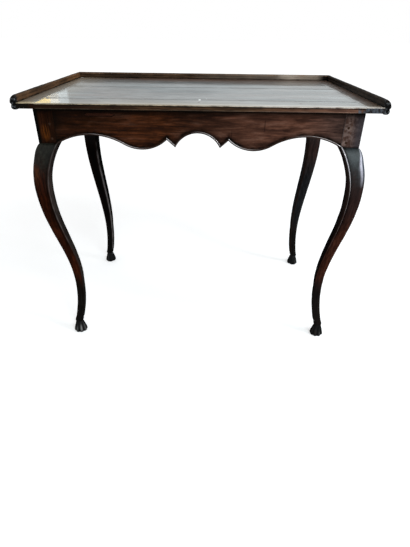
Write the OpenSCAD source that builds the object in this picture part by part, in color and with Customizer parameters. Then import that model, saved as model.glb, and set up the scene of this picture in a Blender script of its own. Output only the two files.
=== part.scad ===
// Provincial walnut centre table on four cabriole legs with hoof feet.
// Each leg is one piece of wood: a square post, a curved leg and a cloven hoof.
// Scalloped aprons are tenoned into the posts and pinned with wooden pegs.
// The thin top has breadboard ends and a low moulded gallery on three sides.
// Millimetres, +Z up, front towards -Y, origin on the floor under the middle of the frame.

/* [Table] */
// Width over the two side strips of the gallery
table_w = 900; // [780:1:1100]
// Depth from the open front edge to the outside of the back strip
table_d = 578; // [500:1:760]
// Height of the top's upper surface above the floor
table_h = 720; // [640:1:800]
// Distance from the outside of a side strip in to the face of the post
side_overhang = 40; // [34:1:60]
// Distance from the front or back edge of the top in to the face of the post
front_overhang = 35; // [32:1:60]
// How far the top sits to the right of the middle of the frame
top_shift = 3.5; // [-6:0.5:6]

/* [Top] */
// Thickness of the boards of the top
top_t = 13; // [11:0.5:22]
// Width of the narrow board along the front edge
front_board_w = 84; // [70:1:160]
// Width of each breadboard end, across its grain
end_board_w = 43; // [34:1:60]
// Length of the tongue on the boards' ends
tongue_l = 12; // [8:1:20]
// Thickness of that tongue
tongue_t = 4; // [3:0.5:6]

/* [Gallery] */
// Height of the gallery above the top
lip_h = 17; // [12:1:28]
// Thickness of the strip at its widest
lip_t = 13.5; // [12.5:0.5:20]
// How far the strip hangs below the underside of the top
lip_drop = 2.5; // [0:0.5:6]
// How far the lower bead stands back from the widest point
lip_step = 1; // [0.5:0.5:4]
// Radius of the inner upper edge
lip_inner_r = 3; // [1:0.5:4]
// Distance from the inner face to the top of the moulding
lip_ridge = 5; // [4:0.5:8]
// Radius that rounds over the front end of each side strip
lip_end_r = 11; // [4:1:12]

/* [Frame] */
// Width of the square post at the top of each leg
post_w = 48; // [44:1:64]
// Length of the post below the top's underside
post_h = 90; // [80:1:110]
// Thickness of the aprons
apron_t = 22; // [18:1:28]
// Length of a tenon
tenon_l = 28; // [20:1:29]
// Thickness of a tenon
tenon_t = 9; // [6:0.5:10]
// Depth of a tenon behind the face of its apron
tenon_set = 8; // [6:0.5:9]
// Shoulder above a tenon and below it
tenon_shoulder = 8; // [5:1:14]
// Gap on each side of a tenon, tongue or patch in its pocket
fit_gap = 0.15; // [0.05:0.05:0.3]

/* [Front and back apron edge] */
// Depth of the apron at its two lobes
lobe_depth = 101.5; // [96:0.5:112]
// Distance of a lobe from the middle
lobe_x = 143; // [128:1:152]
// Radius of a lobe
lobe_r = 95; // [80:1:100]
// Depth of the apron at its two points
point_depth = 95; // [88:1:100]
// Distance of a point from the middle
point_x = 57; // [46:1:60]
// Depth of the apron at the top of the middle arch
arch_depth = 59; // [48:1:70]
// Radius of the long arch between a lobe and a post
long_arch_r = 170; // [130:1:190]
// Slope of the short straight edge from a point up to the notch
notch_slope = 41; // [38:1:50]
// How far the whole outline is sawn to the left of the middle
edge_shift = 3; // [-6:0.5:6]

/* [Side apron edge] */
// Depth of a side apron at its two lobes
side_lobe_depth = 96; // [92:1:106]
// Distance of its lobes from the middle
side_lobe_x = 88; // [80:1:94]
// Radius of its lobes
side_lobe_r = 56; // [48:1:60]
// Depth of a side apron at its two points
side_point_depth = 90; // [84:1:94]
// Distance of its points from the middle
side_point_x = 36; // [30:1:38]
// Depth of a side apron at the top of its middle arch
side_arch_depth = 66; // [56:1:74]
// Radius of its long arches
side_long_arch_r = 90; // [78:1:100]

/* [Bead] */
// Width of the bead along the apron edges and the legs
bead_w = 5; // [3:0.5:6]
// How far the bead stands out from the wood
bead_out = 1.5; // [0.5:0.25:2]

/* [Cabriole leg] */
// How far the knee stands out from the face of the post
knee_out = 28; // [16:1:30]
// Depth of the knee's widest point below the post
knee_drop = 107; // [80:1:130]
// How full the leg is between knee and post: 0 follows a flat arc, 1 an upright ellipse
shoulder_full = 0.55; // [0:0.05:0.7]
// How far the ankle stands in from the face of the post
ankle_in = 19.5; // [10:0.5:28]
// Height of the innermost place of the ankle
ankle_z = 172; // [140:1:220]
// Width of the leg at the ankle
ankle_w = 24.5; // [20:0.5:32]
// How far the leg swings out again from the ankle to the hoof
foot_kick = 17; // [8:1:22]
// Share of the leg's swelling that is spent evenly below the knee
even_swell = 0.86; // [0.7:0.02:1]
// Radius of the outer corner as a share of the leg's width
outer_round = 0.37; // [0.2:0.01:0.45]
// Radius of the inner corner as a share of the leg's width
inner_round = 0.2; // [0.16:0.01:0.3]
// How far the inner faces of the leg stand in beyond an even taper, between ankle and post
inner_swell = 3.5; // [0:0.5:8]
// Slope of those faces towards each other, from the bead to the inner corner
inner_lean = 0.05; // [0:0.01:0.16]
// Step from the post in to the top of the knee
knee_step = 0.5; // [0.25:0.25:1.5]

/* [Hoof] */
// Height of the hoof
hoof_h = 38; // [30:1:46]
// Radius of the sole
sole_r = 21; // [18:0.5:26]
// How far the sole's middle lies outside the ankle's middle, along each face
sole_shift = 1; // [0:0.5:7]
// Radius of the narrow neck above the hoof
neck_r = 10.6; // [9:0.2:12]
// Depth of the cleft between the toes
cleft_d = 6; // [2:0.5:8]
// Depth of the groove at the heel
heel_d = 3; // [1:0.5:5]

/* [Pegs and pins] */
// Radius of the pegs that lock the tenons
peg_r = 3.5; // [2.5:0.5:4.5]
// Length of those pegs
peg_l = 26; // [20:1:30]
// Distance of a peg from the joint with the apron
peg_set = 12; // [9:1:16]
// Height of the lower peg above the bottom of the post
peg_low = 13; // [12:1:24]
// Height of the upper peg above the lower one
peg_rise = 36; // [20:1:40]
// How far a peg stands out of the post
peg_out = 0.5; // [0:0.25:1]
// Radius of the pegs that hold the top down
top_peg_r = 4; // [3:0.5:5]
// Depth of those pegs in the apron
top_peg_l = 25; // [15:1:40]
// Distance between neighbouring top pegs
top_peg_pitch = 250; // [150:5:320]
// Radius of the pegs in the breadboard ends
end_peg_r = 3; // [2:0.5:4]
// Radius of the pins in the gallery
pin_r = 1; // [0.8:0.1:1.5]
// Length that a pin reaches into the top
pin_grip = 10; // [6:1:20]
// Distance between neighbouring pins
pin_pitch = 160; // [100:5:180]
// Radial gap round a peg or pin
peg_gap = 0.06; // [0.02:0.02:0.1]

/* [Repair patch] */
// Length of the patch let into the front apron
patch_l = 80; // [40:1:120]
// Height of the patch
patch_h = 9.5; // [6:0.5:16]
// Depth of the patch
patch_t = 6; // [3:0.5:6.5]
// Distance of the patch's middle from the left post
patch_x = 116; // [60:1:200]
// Depth of the patch's middle below the top
patch_z = 17; // [12:1:30]

/* [Hidden] */
$fn = 48;
// A small length that carries cuts clear of the surfaces they open
clear = 1;
// The frame: faces of the posts, underside of the top, bottom of the posts
frame_w = table_w - 2 * side_overhang;
frame_d = table_d - 2 * front_overhang;
under_z = table_h - top_t;
post_z = under_z - post_h;
// Half the length of the aprons between the posts
apron_half = frame_w / 2 - post_w;
side_apron_half = frame_d / 2 - post_w;
// The top: board ends, back edge, width of the two wide boards
joint_x = table_w / 2 - lip_t - end_board_w;
board_end_x = table_w / 2 - lip_t;
front_y = -table_d / 2;
back_y = table_d / 2 - lip_t;
wide_board_w = (table_d - lip_t - front_board_w) / 2;
// Height of the middle of the boards
board_mid_z = table_h - top_t / 2;
// The gallery's lower bead: small flat beside it, its height, and its middle below the top's surface
quirk = 1.5;
lip_bead_h = top_t + lip_drop - 2 * quirk;
lip_bead_mid = top_t + lip_drop - lip_bead_h / 2;
// Height of the knee's widest point
knee_z = post_z - knee_drop;
// Steps along each curve of an apron's edge
arc_steps = 14;

// Bead on the leg: distances from the corner at which its outline turns, as shares of its width
bead_foot = 1.3;
bead_brow = 0.75;
bead_lip = 0.25;
bead_side = 0.33;
// Share of the bead's width found at the ankle, and of the inner corner's radius found at the post
ankle_bead = 0.4;
post_inner = 0.4;
// Share of the outer corner's rounding that is there already where the post ends
post_round = 0.25;
// How far the inner corner is rounded out: 0 is a flat across it, 1 a sharp corner
corner_full = 0.4;
// The higher it is, the closer to the post the leg thickens
post_flare = 5;
// The higher it is, the closer to the ankle the inner faces reach their full swelling
swell_rise = 1.5;

// Hoof: height and depth of the rounding round the sole, and the bulge of its side
sole_edge_h = 4;
sole_edge_in = 2.2;
hoof_bulge = 1.35;
// Depths of the cleft and of the heel's groove at the neck
neck_cleft = 1;
neck_heel = 0.5;
// The leg's skin ends this far inside the post, drawn in to this share of its width
plug_h = 6;
plug_share = 0.9;

// Points of an arc about a centre, from one angle to another
function arc(c, r, from, to) =
    [for (i = [0 : arc_steps]) let (a = from + (to - from) * i / arc_steps) c + r * [cos(a), sin(a)]];

// Angle of the line from one point to another
function bearing(from, to) = atan2(to[1] - from[1], to[0] - from[0]);

// Where a line from a point at an angle first meets a circle
function line_meets_circle(p, angle, c, r) =
    let (d = [cos(angle), sin(angle)], q = p - c, b = q * d)
    p + d * (-b - sqrt(b * b - q * q + r * r));

// Centre that lies at one distance from a first point and another from a second, on the lower side
function centre_below(a, ra, b, rb) =
    let (gap = norm(b - a), u = (b - a) / gap, s = (ra * ra - rb * rb + gap * gap) / (2 * gap))
    a + s * u + sqrt(ra * ra - s * s) * [u[1], -u[0]];

// Right half of an apron's lower edge, raised by d everywhere, from the middle to the post
// A shape lists arch depth, point place and depth, lobe place, depth and radius, long arch radius and shift
function apron_edge(shape, half, d) =
    let (
        rise = shape[2] - shape[0],
        arch_r = (shape[1] * shape[1] + rise * rise) / (2 * rise),
        arch_c = [0, -shape[0] - arch_r],
        point = [shape[1], -shape[2]],
        shifted = point + d * [-sin(notch_slope), cos(notch_slope)],
        lobe_c = [shape[3], shape[5] - shape[4]],
        notch = line_meets_circle(shifted, notch_slope, lobe_c, shape[5] - d),
        tip = line_meets_circle(notch, notch_slope + 180, arch_c, arch_r + d),
        long_c = centre_below(lobe_c, shape[5] + shape[6], [half, -post_h], shape[6]),
        turn = bearing(lobe_c, long_c),
        end_angle = acos((half - long_c[0]) / (shape[6] + d))
    )
    concat(
        arc(arch_c, arch_r + d, 90, bearing(arch_c, tip)),
        arc(lobe_c, shape[5] - d, bearing(lobe_c, notch) + 360, turn + 360),
        arc(long_c, shape[6] + d, turn + 180, end_angle)
    );

front_shape = [arch_depth, point_x, point_depth, lobe_x, lobe_depth, lobe_r, long_arch_r, edge_shift];
side_shape = [
    side_arch_depth, side_point_x, side_point_depth,
    side_lobe_x, side_lobe_depth, side_lobe_r, side_long_arch_r, 0
];

// Both halves of the edge, from the left post to the right one, moved left by the last entry
function full_edge(shape, half, d) =
    let (
        shift = shape[7],
        left = apron_edge(shape, half - shift, d),
        right = apron_edge(shape, half + shift, d),
        last = len(left) - 1
    )
    concat(
        [for (i = [last : -1 : 1]) [-left[i][0] - shift, left[i][1]]],
        [for (p = right) [p[0] - shift, p[1]]]
    );

// Outer outline above the knee: a flat arc from the knee's widest point up to the post
function knee_arc(z) =
    let (rise = knee_out + knee_step, r = (knee_drop * knee_drop + rise * rise) / (2 * rise))
    knee_out - r + sqrt(r * r - (z - knee_z) * (z - knee_z));

// How far the shoulder above the knee is filled out beyond that arc, at a height
function shoulder(z) =
    let (u = max(0, min(1, (z - knee_z) / knee_drop)))
    shoulder_full * ((knee_out + knee_step) * sqrt(1 - u * u) - knee_step - knee_arc(max(z, knee_z)));

// How far the leg's outer faces stand out from the post's, at a height
function leg_out(z) =
    z > knee_z
    ? knee_arc(z) + shoulder(z)
    : z > ankle_z
    ? -ankle_in + (knee_out + ankle_in) * (1 - cos(180 * (z - ankle_z) / (knee_z - ankle_z))) / 2
    : -ankle_in + foot_kick * pow((ankle_z - z) / (ankle_z - hoof_h), 2);

// Share of the bead that is left at a height: whole at the knee, gone at the ankle
function bead_share(z) = max(0, min(1, (z - ankle_z) / (knee_z - ankle_z)));

// Share of the full section below the post: nothing where the post ends, whole one post's width lower
function below_post(z) = min(1, (post_z - z) / post_w);

// Share of the inner faces' swelling and slope: nothing at the post and the ankle, whole between
function inner_share(z) = below_post(z) * sin(90 * min(1, swell_rise * bead_share(z)));

// Width of the leg at a height: the shoulder adds to the outer side, the swelling to the inner one
function leg_width(z) =
    let (t = max(0, (z - ankle_z) / (post_z - ankle_z)))
    ankle_w + (post_w - 2 * knee_step - ankle_w) * (even_swell * t + (1 - even_swell) * pow(t, post_flare))
    + shoulder(z) + inner_swell * inner_share(z);

// Half of the leg's square section, from the outer corner round one face to the inner corner
// Both coordinates run inwards from the post's faces
function leg_half(z) =
    let (
        w = leg_width(z),
        o = -leg_out(z),
        corner = w * outer_round * min(1, post_round + (post_z - z) / post_w),
        inner = w * inner_round * mix(post_inner, 1, below_post(z)),
        lean = inner_lean * inner_share(z),
        brink = [w - lean * (w - inner), w - inner],
        middle = mix((brink[0] + brink[1]) / 2, brink[0], corner_full),
        bead = bead_w * mix(ankle_bead, 1, bead_share(z)),
        out = bead_out * bead_share(z)
    )
    [for (p = concat(
        [for (a = [45, 30, 15, 0]) corner * [1 - sin(a), 1 - cos(a)]],
        [
            [(corner + w - bead_foot * bead) / 2, 0],
            [w - bead_foot * bead, 0],
            [w - bead, out / 2],
            [w - bead_brow * bead, -out],
            [w - bead_lip * bead, -out],
            [w, bead_side * bead],
            [w - lean * w / 2, w / 2],
            brink,
            [middle, middle]
        ]
    )) p + [o, o]];

function mix(a, b, t) = a + (b - a) * t;

// Directions from the cleft at the toe round to the heel, and half of the hoof's section along them
toe_angles = [0, 9, 24, 40, 58, 76, 94, 112, 130, 146, 160, 171, 180];
function hoof_half(z) =
    let (
        s = z / hoof_h,
        neck = -leg_out(hoof_h) + leg_width(hoof_h) / 2,
        c = mix(neck - sole_shift, neck, s),
        rounded = sole_edge_in * max(0, 1 - z / sole_edge_h),
        r = mix(sole_r, neck_r, pow(s, hoof_bulge)) - rounded,
        cleft = mix(cleft_d, neck_cleft, s),
        heel = mix(heel_d, neck_heel, s)
    )
    [for (k = [0 : len(toe_angles) - 1])
        let (a = 225 + toe_angles[k], cut = k == 0 ? cleft : k == len(toe_angles) - 1 ? heel : 0)
        [c, c] + (r - cut) * [cos(a), sin(a)]];

// A whole ring: the half section and its mirror image across the diagonal
function ring(half, z) =
    let (last = len(half) - 1)
    concat(
        [for (p = half) [p[0], p[1], z]],
        [for (i = [last - 1 : -1 : 1]) [half[i][1], half[i][0], z]]
    );

// End of the leg's skin, drawn in towards the middle of the post
function plug_half(half) =
    let (m = [post_w / 2, post_w / 2]) [for (p = half) m + plug_share * (p - m)];

// Heights of the rings: two at the sole's edge, evenly up the hoof, foot and leg, closer under the post
hoof_rings = 3;
foot_rings = 5;
leg_rings = 11;
knee_rings = 6;
hoof_heights = concat([0], [for (i = [0 : hoof_rings]) mix(sole_edge_h, hoof_h, i / hoof_rings)]);
foot_heights = [for (i = [1 : foot_rings]) mix(hoof_h, ankle_z, (i - 0.5) / foot_rings)];
leg_heights = [for (i = [0 : leg_rings]) mix(ankle_z, knee_z, i / leg_rings)];
knee_heights = [for (i = [1 : knee_rings]) mix(knee_z, post_z, sin(90 * i / knee_rings))];

// The curved leg and its hoof as one closed skin
module cabriole() {
    rings = concat(
        [for (z = hoof_heights) ring(hoof_half(z), z)],
        [for (z = concat(foot_heights, leg_heights, knee_heights)) ring(leg_half(z), z)],
        [ring(plug_half(leg_half(post_z)), post_z + plug_h)]
    );
    n = len(rings[0]);
    top = (len(rings) - 1) * n;
    skin = [for (r = rings, p = r) p];
    sides = [for (j = [0 : len(rings) - 2], i = [0 : n - 1], half = [0, 1])
        let (a = j * n + i, b = j * n + (i + 1) % n)
        half == 0 ? [a, a + n, b] : [b, a + n, b + n]];
    polyhedron(points = skin, faces = concat(
        [[for (i = [0 : n - 1]) i]],
        sides,
        [[for (i = [n - 1 : -1 : 0]) top + i]]
    ));
}

// Pocket for a tenon, cut from one inner face of the post
module mortise() {
    translate([post_w - tenon_l - fit_gap, tenon_set - fit_gap, post_z + tenon_shoulder - fit_gap])
        cube([
            tenon_l + fit_gap + clear,
            tenon_t + 2 * fit_gap,
            post_h - 2 * tenon_shoulder + 2 * fit_gap
        ]);
}

// The two peg holes through that pocket from the outer face, or the pegs that fill them
module peg_pair(r, from, to) {
    for (z = [peg_low, peg_low + peg_rise])
        translate([post_w - peg_set, from, post_z + z])
            rotate([-90, 0, 0])
                cylinder(r = r, h = to - from);
}

// Swaps the two faces of the post
module other_face() {
    mirror([1, -1, 0]) children();
}

// One leg at the corner where both outer faces of its post are at zero
module leg() {
    color("#3a2216")
        difference() {
            union() {
                translate([0, 0, post_z]) cube([post_w, post_w, post_h]);
                cabriole();
            }
            mortise();
            other_face() mortise();
            peg_pair(peg_r + peg_gap, -clear, peg_l);
            other_face() peg_pair(peg_r + peg_gap, -clear, peg_l);
        }
}

// Places a leg or its pegs at a corner: side -1 is left, end -1 is front
module at_corner(side, end) {
    mirror([side > 0 ? 1 : 0, 0, 0])
        mirror([0, end > 0 ? 1 : 0, 0])
            translate([-frame_w / 2, -frame_d / 2, 0])
                children();
}

module leg_front_left() { at_corner(-1, -1) leg(); }
module leg_front_right() { at_corner(1, -1) leg(); }
module leg_back_left() { at_corner(-1, 1) leg(); }
module leg_back_right() { at_corner(1, 1) leg(); }

// One scalloped apron in its own plane: outer face at y zero, top at z zero
module apron(shape, half) {
    field = full_edge(shape, half, 0);
    inner = full_edge(shape, half, bead_w);
    last = len(inner) - 1;
    rotate([90, 0, 0]) {
        translate([0, 0, -apron_t])
            linear_extrude(apron_t)
                polygon(concat([[half, 0], [-half, 0]], field));
        translate([0, 0, -clear])
            linear_extrude(bead_out + clear)
                polygon(concat(field, [for (i = [last : -1 : 0]) inner[i]]));
    }
    for (side = [-1, 1])
        translate([side > 0 ? half - clear : -half - tenon_l, tenon_set, tenon_shoulder - post_h])
            cube([tenon_l + clear, tenon_t, post_h - 2 * tenon_shoulder]);
}

// Peg holes through both tenons of an apron
module tenon_holes(half) {
    for (side = [-1, 1], z = [peg_low, peg_low + peg_rise])
        translate([side * (half + peg_set), 0, z - post_h])
            rotate([-90, 0, 0])
                cylinder(r = peg_r + peg_gap, h = apron_t);
}

// Holes for the pegs that hold the top down
module top_peg_holes() {
    for (x = [-1, 0, 1])
        translate([x * top_peg_pitch, apron_t / 2, -top_peg_l])
            cylinder(r = top_peg_r + peg_gap, h = top_peg_l + clear);
}

// Long lozenge of the repair, grown by a gap, lying in the apron's plane
module patch_outline(grow) {
    polygon([
        [-patch_l / 2 - grow, 0],
        [-patch_l / 2 + patch_h, -patch_h / 2 - grow],
        [patch_l / 2 - patch_h, -patch_h / 2 - grow],
        [patch_l / 2 + grow, 0],
        [patch_l / 2 - patch_h, patch_h / 2 + grow],
        [-patch_l / 2 + patch_h, patch_h / 2 + grow]
    ]);
}

// Places the repair or its pocket, from a depth behind the face to a height in front of it
module at_patch(depth, front) {
    translate([patch_x - apron_half, 0, -patch_z])
        rotate([90, 0, 0])
            translate([0, 0, -depth])
                linear_extrude(depth + front)
                    children();
}

// Moves an apron from its own plane to the front of the frame
module to_front() {
    translate([0, -frame_d / 2, under_z]) children();
}

module front_apron() {
    color("#3f2416")
        to_front()
            difference() {
                apron(front_shape, apron_half);
                tenon_holes(apron_half);
                top_peg_holes();
                at_patch(patch_t, clear) patch_outline(fit_gap);
            }
}

module back_apron() {
    color("#3f2416")
        mirror([0, 1, 0])
            to_front()
                difference() {
                    apron(front_shape, apron_half);
                    tenon_holes(apron_half);
                    top_peg_holes();
                }
}

// Moves an apron from its own plane to the left side of the frame
module to_left() {
    translate([-frame_w / 2, 0, under_z])
        rotate([0, 0, -90])
            children();
}

module left_apron() {
    color("#38200f")
        to_left()
            difference() {
                apron(side_shape, side_apron_half);
                tenon_holes(side_apron_half);
            }
}

module right_apron() {
    color("#38200f")
        mirror([1, 0, 0])
            to_left()
                difference() {
                    apron(side_shape, side_apron_half);
                    tenon_holes(side_apron_half);
                }
}

// Four pegs that lock the two ends of the front or back apron
module front_pegs(end) {
    for (side = [-1, 1])
        at_corner(side, end)
            peg_pair(peg_r, -peg_out, peg_l - fit_gap);
}

// Four pegs that lock the two ends of a side apron
module side_pegs(side) {
    for (end = [-1, 1])
        at_corner(side, end)
            other_face()
                peg_pair(peg_r, -peg_out, peg_l - fit_gap);
}

module front_apron_pegs() { color("#6b4a2c") front_pegs(-1); }
module back_apron_pegs() { color("#6b4a2c") front_pegs(1); }
module left_apron_pegs() { color("#6b4a2c") side_pegs(-1); }
module right_apron_pegs() { color("#6b4a2c") side_pegs(1); }

module front_apron_patch() {
    color("#2d180e")
        to_front()
            at_patch(patch_t, 0) patch_outline(0);
}

// Moves the pieces of the top from their own middle to their place on the frame
module on_frame() {
    translate([top_shift, 0, 0]) children();
}

// Places of the pegs through the tongues, one pair for each board
end_peg_y = [
    front_y + front_board_w / 2,
    front_y + front_board_w + wide_board_w / 2,
    front_y + front_board_w + wide_board_w + wide_board_w / 2
];

// Pegs through the tongues, or the holes for them
module end_pegs(r, from, to) {
    for (side = [-1, 1], y = end_peg_y)
        translate([side * (joint_x + tongue_l / 2), y, from])
            cylinder(r = r, h = to - from);
}

// Pegs that hold the top down, or the holes for them, in line with the frame
module top_peg_set(r, from, to) {
    for (end = [-1, 1], x = [-1, 0, 1])
        translate([x * top_peg_pitch - top_shift, end * (frame_d / 2 - apron_t / 2), from])
            cylinder(r = r, h = to - from);
}

// Holes in the top's edges for the gallery pins, or the pins themselves
module pins(r, grip) {
    side_n = floor((table_d - 2 * lip_t) / 2 / pin_pitch);
    back_n = floor((table_w - 2 * lip_t) / 2 / pin_pitch);
    for (side = [-1, 1], i = [-side_n : side_n])
        translate([side * (board_end_x - grip), i * pin_pitch, table_h - lip_bead_mid])
            rotate([0, side * 90, 0])
                cylinder(r = r, h = grip + lip_t - lip_step);
    for (i = [-back_n : back_n])
        translate([i * pin_pitch, back_y - grip, table_h - lip_bead_mid])
            rotate([-90, 0, 0])
                cylinder(r = r, h = grip + lip_t - lip_step);
}

// One board of the top with a tongue on each end
module board(y, w) {
    color("#5a3d29")
        difference() {
            union() {
                translate([-joint_x, y, under_z]) cube([2 * joint_x, w, top_t]);
                translate([-joint_x - tongue_l, y, board_mid_z - tongue_t / 2])
                    cube([2 * (joint_x + tongue_l), w, tongue_t]);
            }
            end_pegs(end_peg_r + peg_gap, under_z - clear, table_h + clear);
            top_peg_set(top_peg_r + peg_gap, under_z - clear, table_h + clear);
            pins(pin_r + peg_gap, pin_grip + fit_gap);
        }
}

module top_board_front() { on_frame() board(front_y, front_board_w); }
module top_board_middle() { on_frame() board(front_y + front_board_w, wide_board_w); }
module top_board_back() { on_frame() board(front_y + front_board_w + wide_board_w, wide_board_w); }

// Board across the grain at one end of the top, grooved for the tongues
module breadboard_end() {
    groove_l = tongue_l + fit_gap;
    groove_t = tongue_t + 2 * fit_gap;
    color("#4c3323")
        difference() {
            translate([joint_x, front_y, under_z])
                cube([end_board_w, back_y - front_y, top_t]);
            translate([joint_x - clear, front_y - clear, board_mid_z - groove_t / 2])
                cube([groove_l + clear, back_y - front_y + 2 * clear, groove_t]);
            end_pegs(end_peg_r + peg_gap, under_z - clear, table_h + clear);
            pins(pin_r + peg_gap, pin_grip + fit_gap);
        }
}

module breadboard_end_left() { on_frame() mirror([1, 0, 0]) breadboard_end(); }
module breadboard_end_right() { on_frame() breadboard_end(); }
module breadboard_pegs() { color("#6b4a2c") on_frame() end_pegs(end_peg_r, under_z, table_h); }
module top_pegs() {
    color("#6b4a2c")
        on_frame()
            top_peg_set(top_peg_r, under_z - top_peg_l + fit_gap, table_h);
}

// Section of the gallery: x runs out from the inner face, y up from the top's surface
module lip_section() {
    bead_r = lip_bead_h / 2;
    bead_x = lip_t - lip_step - bead_r;
    ovolo_r = (lip_h * lip_h + pow(lip_t - lip_ridge, 2)) / (2 * (lip_t - lip_ridge));
    intersection() {
        translate([lip_t - ovolo_r, 0]) circle(r = ovolo_r);
        union() {
            translate([lip_inner_r, -quirk]) square([lip_t - lip_inner_r, lip_h + quirk]);
            translate([0, -quirk]) square([lip_t, lip_h + quirk - lip_inner_r]);
            translate([lip_inner_r, lip_h - lip_inner_r]) circle(r = lip_inner_r);
        }
    }
    translate([0, -lip_bead_mid]) square([lip_t - lip_step - quirk, lip_bead_mid]);
    translate([0, -lip_bead_mid - bead_r]) square([bead_x, 2 * bead_r]);
    translate([bead_x, -lip_bead_mid]) circle(r = bead_r);
}

// Straight strip along the y axis, inner face at x zero, cut at 45 degrees where a mitre is asked for
module strip(l, near_mitre, far_mitre) {
    difference() {
        rotate([90, 0, 0])
            translate([0, 0, -l])
                linear_extrude(l)
                    lip_section();
        if (far_mitre)
            translate([0, l - lip_t, -table_h / 2])
                rotate([0, 0, 45])
                    cube([2 * lip_t, 2 * lip_t, table_h]);
        if (near_mitre)
            translate([0, lip_t, -table_h / 2])
                rotate([0, 0, -135])
                    cube([2 * lip_t, 2 * lip_t, table_h]);
    }
}

// Side strip: rounded over at its open front end, mitred at the back
module side_lip() {
    difference() {
        translate([board_end_x, front_y, table_h]) strip(table_d, false, true);
        translate([board_end_x - clear, front_y, table_h + lip_h - lip_end_r])
            rotate([0, 90, 0])
                difference() {
                    translate([-lip_end_r - clear, -clear, 0])
                        cube([lip_end_r + clear, lip_end_r + clear, lip_t + 2 * clear]);
                    translate([0, lip_end_r, -clear])
                        cylinder(r = lip_end_r, h = lip_t + 4 * clear);
                }
        pins(pin_r + peg_gap, pin_grip);
    }
}

module gallery_right() { color("#35241a") on_frame() side_lip(); }
module gallery_left() { color("#35241a") on_frame() mirror([1, 0, 0]) side_lip(); }

module gallery_back() {
    color("#4a3222")
        on_frame()
            difference() {
                translate([table_w / 2, back_y, table_h])
                    rotate([0, 0, 90])
                        strip(table_w, true, true);
                pins(pin_r + peg_gap, pin_grip);
            }
}

module gallery_pins() { color("#2a2624") on_frame() pins(pin_r, pin_grip); }

leg_front_left();
leg_front_right();
leg_back_left();
leg_back_right();
front_apron();
back_apron();
left_apron();
right_apron();
front_apron_pegs();
back_apron_pegs();
left_apron_pegs();
right_apron_pegs();
front_apron_patch();
top_board_front();
top_board_middle();
top_board_back();
breadboard_end_left();
breadboard_end_right();
breadboard_pegs();
top_pegs();
gallery_left();
gallery_right();
gallery_back();
gallery_pins();
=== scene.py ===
# A provincial walnut centre table: four cabriole legs with cloven hoof feet, scalloped
# aprons, and a thin boarded top with a low moulded gallery on three sides.
# Shapes are written in millimetres, +Z up, front towards -Y, and become metres in solid().
import math
import random

import bmesh
import bpy
from mathutils import Matrix, Vector, noise


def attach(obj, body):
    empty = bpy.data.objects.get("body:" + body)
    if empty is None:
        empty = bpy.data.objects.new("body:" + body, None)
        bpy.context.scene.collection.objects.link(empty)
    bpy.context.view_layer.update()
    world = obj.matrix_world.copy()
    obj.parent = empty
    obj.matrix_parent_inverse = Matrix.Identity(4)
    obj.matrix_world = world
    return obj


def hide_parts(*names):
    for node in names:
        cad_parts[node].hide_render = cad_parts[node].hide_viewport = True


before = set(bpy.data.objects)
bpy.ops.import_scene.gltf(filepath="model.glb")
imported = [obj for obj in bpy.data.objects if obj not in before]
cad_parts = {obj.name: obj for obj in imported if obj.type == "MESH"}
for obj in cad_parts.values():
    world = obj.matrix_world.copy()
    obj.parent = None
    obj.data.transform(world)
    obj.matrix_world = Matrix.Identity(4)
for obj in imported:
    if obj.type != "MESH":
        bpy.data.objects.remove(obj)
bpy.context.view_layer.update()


# Legs
# Each leg is sawn and carved from one square walnut blank: a plain post at the top, a
# swelling knee, a thin ankle and a deer's hoof. A bead runs down both inner arrises.
frame_w, frame_d = 820, 508
table_h, top_t = 720, 13
under_z = table_h - top_t
post_w, post_h = 48, 90
post_z = under_z - post_h
# Half the length that an apron shows between two posts, in front and at the sides
apron_half, side_apron_half = frame_w / 2 - post_w, frame_d / 2 - post_w
knee_out, knee_step, knee_z = 28, 0.5, 510
shoulder_full = 0.55
ankle_in, ankle_z, ankle_w, foot_kick = 19.5, 172, 24.5, 17
hoof_h, sole_r, sole_shift, neck_r, cleft_d, heel_d = 38, 21, 1, 10.6, 5, 3
bead_w, bead_out = 5, 1.5
inner_swell, inner_lean = 3.5, 0.05
# Points of half a section, and of its outer corner alone
half_n, corner_n = 26, 6


def mix(a, b, t):
    return a + (b - a) * t


def clamp(t):
    return max(0.0, min(1.0, t))


def hump(x, middle, width):
    return math.exp(-((x - middle) / width) ** 2)


def waver(x, y, z, size, seed=0.0):
    return noise.noise(Vector((x / size + seed, y / size - seed, z / size + 2 * seed)))


def knee_arc(z):
    rise, drop = knee_out + knee_step, post_z - knee_z
    r = (drop * drop + rise * rise) / (2 * rise)
    return knee_out - r + math.sqrt(r * r - (z - knee_z) ** 2)


def shoulder(z):
    u = clamp((z - knee_z) / (post_z - knee_z))
    upright_ellipse = (knee_out + knee_step) * math.sqrt(1 - u * u) - knee_step
    return shoulder_full * (upright_ellipse - knee_arc(max(z, knee_z)))


def leg_out(z):
    if z > knee_z:
        return knee_arc(z) + shoulder(z)
    if z > ankle_z:
        t = (z - ankle_z) / (knee_z - ankle_z)
        return -ankle_in + (knee_out + ankle_in) * (1 - math.cos(math.pi * t)) / 2
    return -ankle_in + foot_kick * ((ankle_z - z) / (ankle_z - hoof_h)) ** 2


def inner_share(z):
    above_ankle = clamp((z - ankle_z) / (knee_z - ankle_z))
    return clamp((post_z - z) / post_w) * math.sin(math.pi / 2 * clamp(1.5 * above_ankle))


def leg_width(z):
    t = max(0, (z - ankle_z) / (post_z - ankle_z))
    taper = ankle_w + (post_w - 2 * knee_step - ankle_w) * (0.86 * t + 0.14 * t ** 5)
    return taper + shoulder(z) + inner_swell * inner_share(z)


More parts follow.
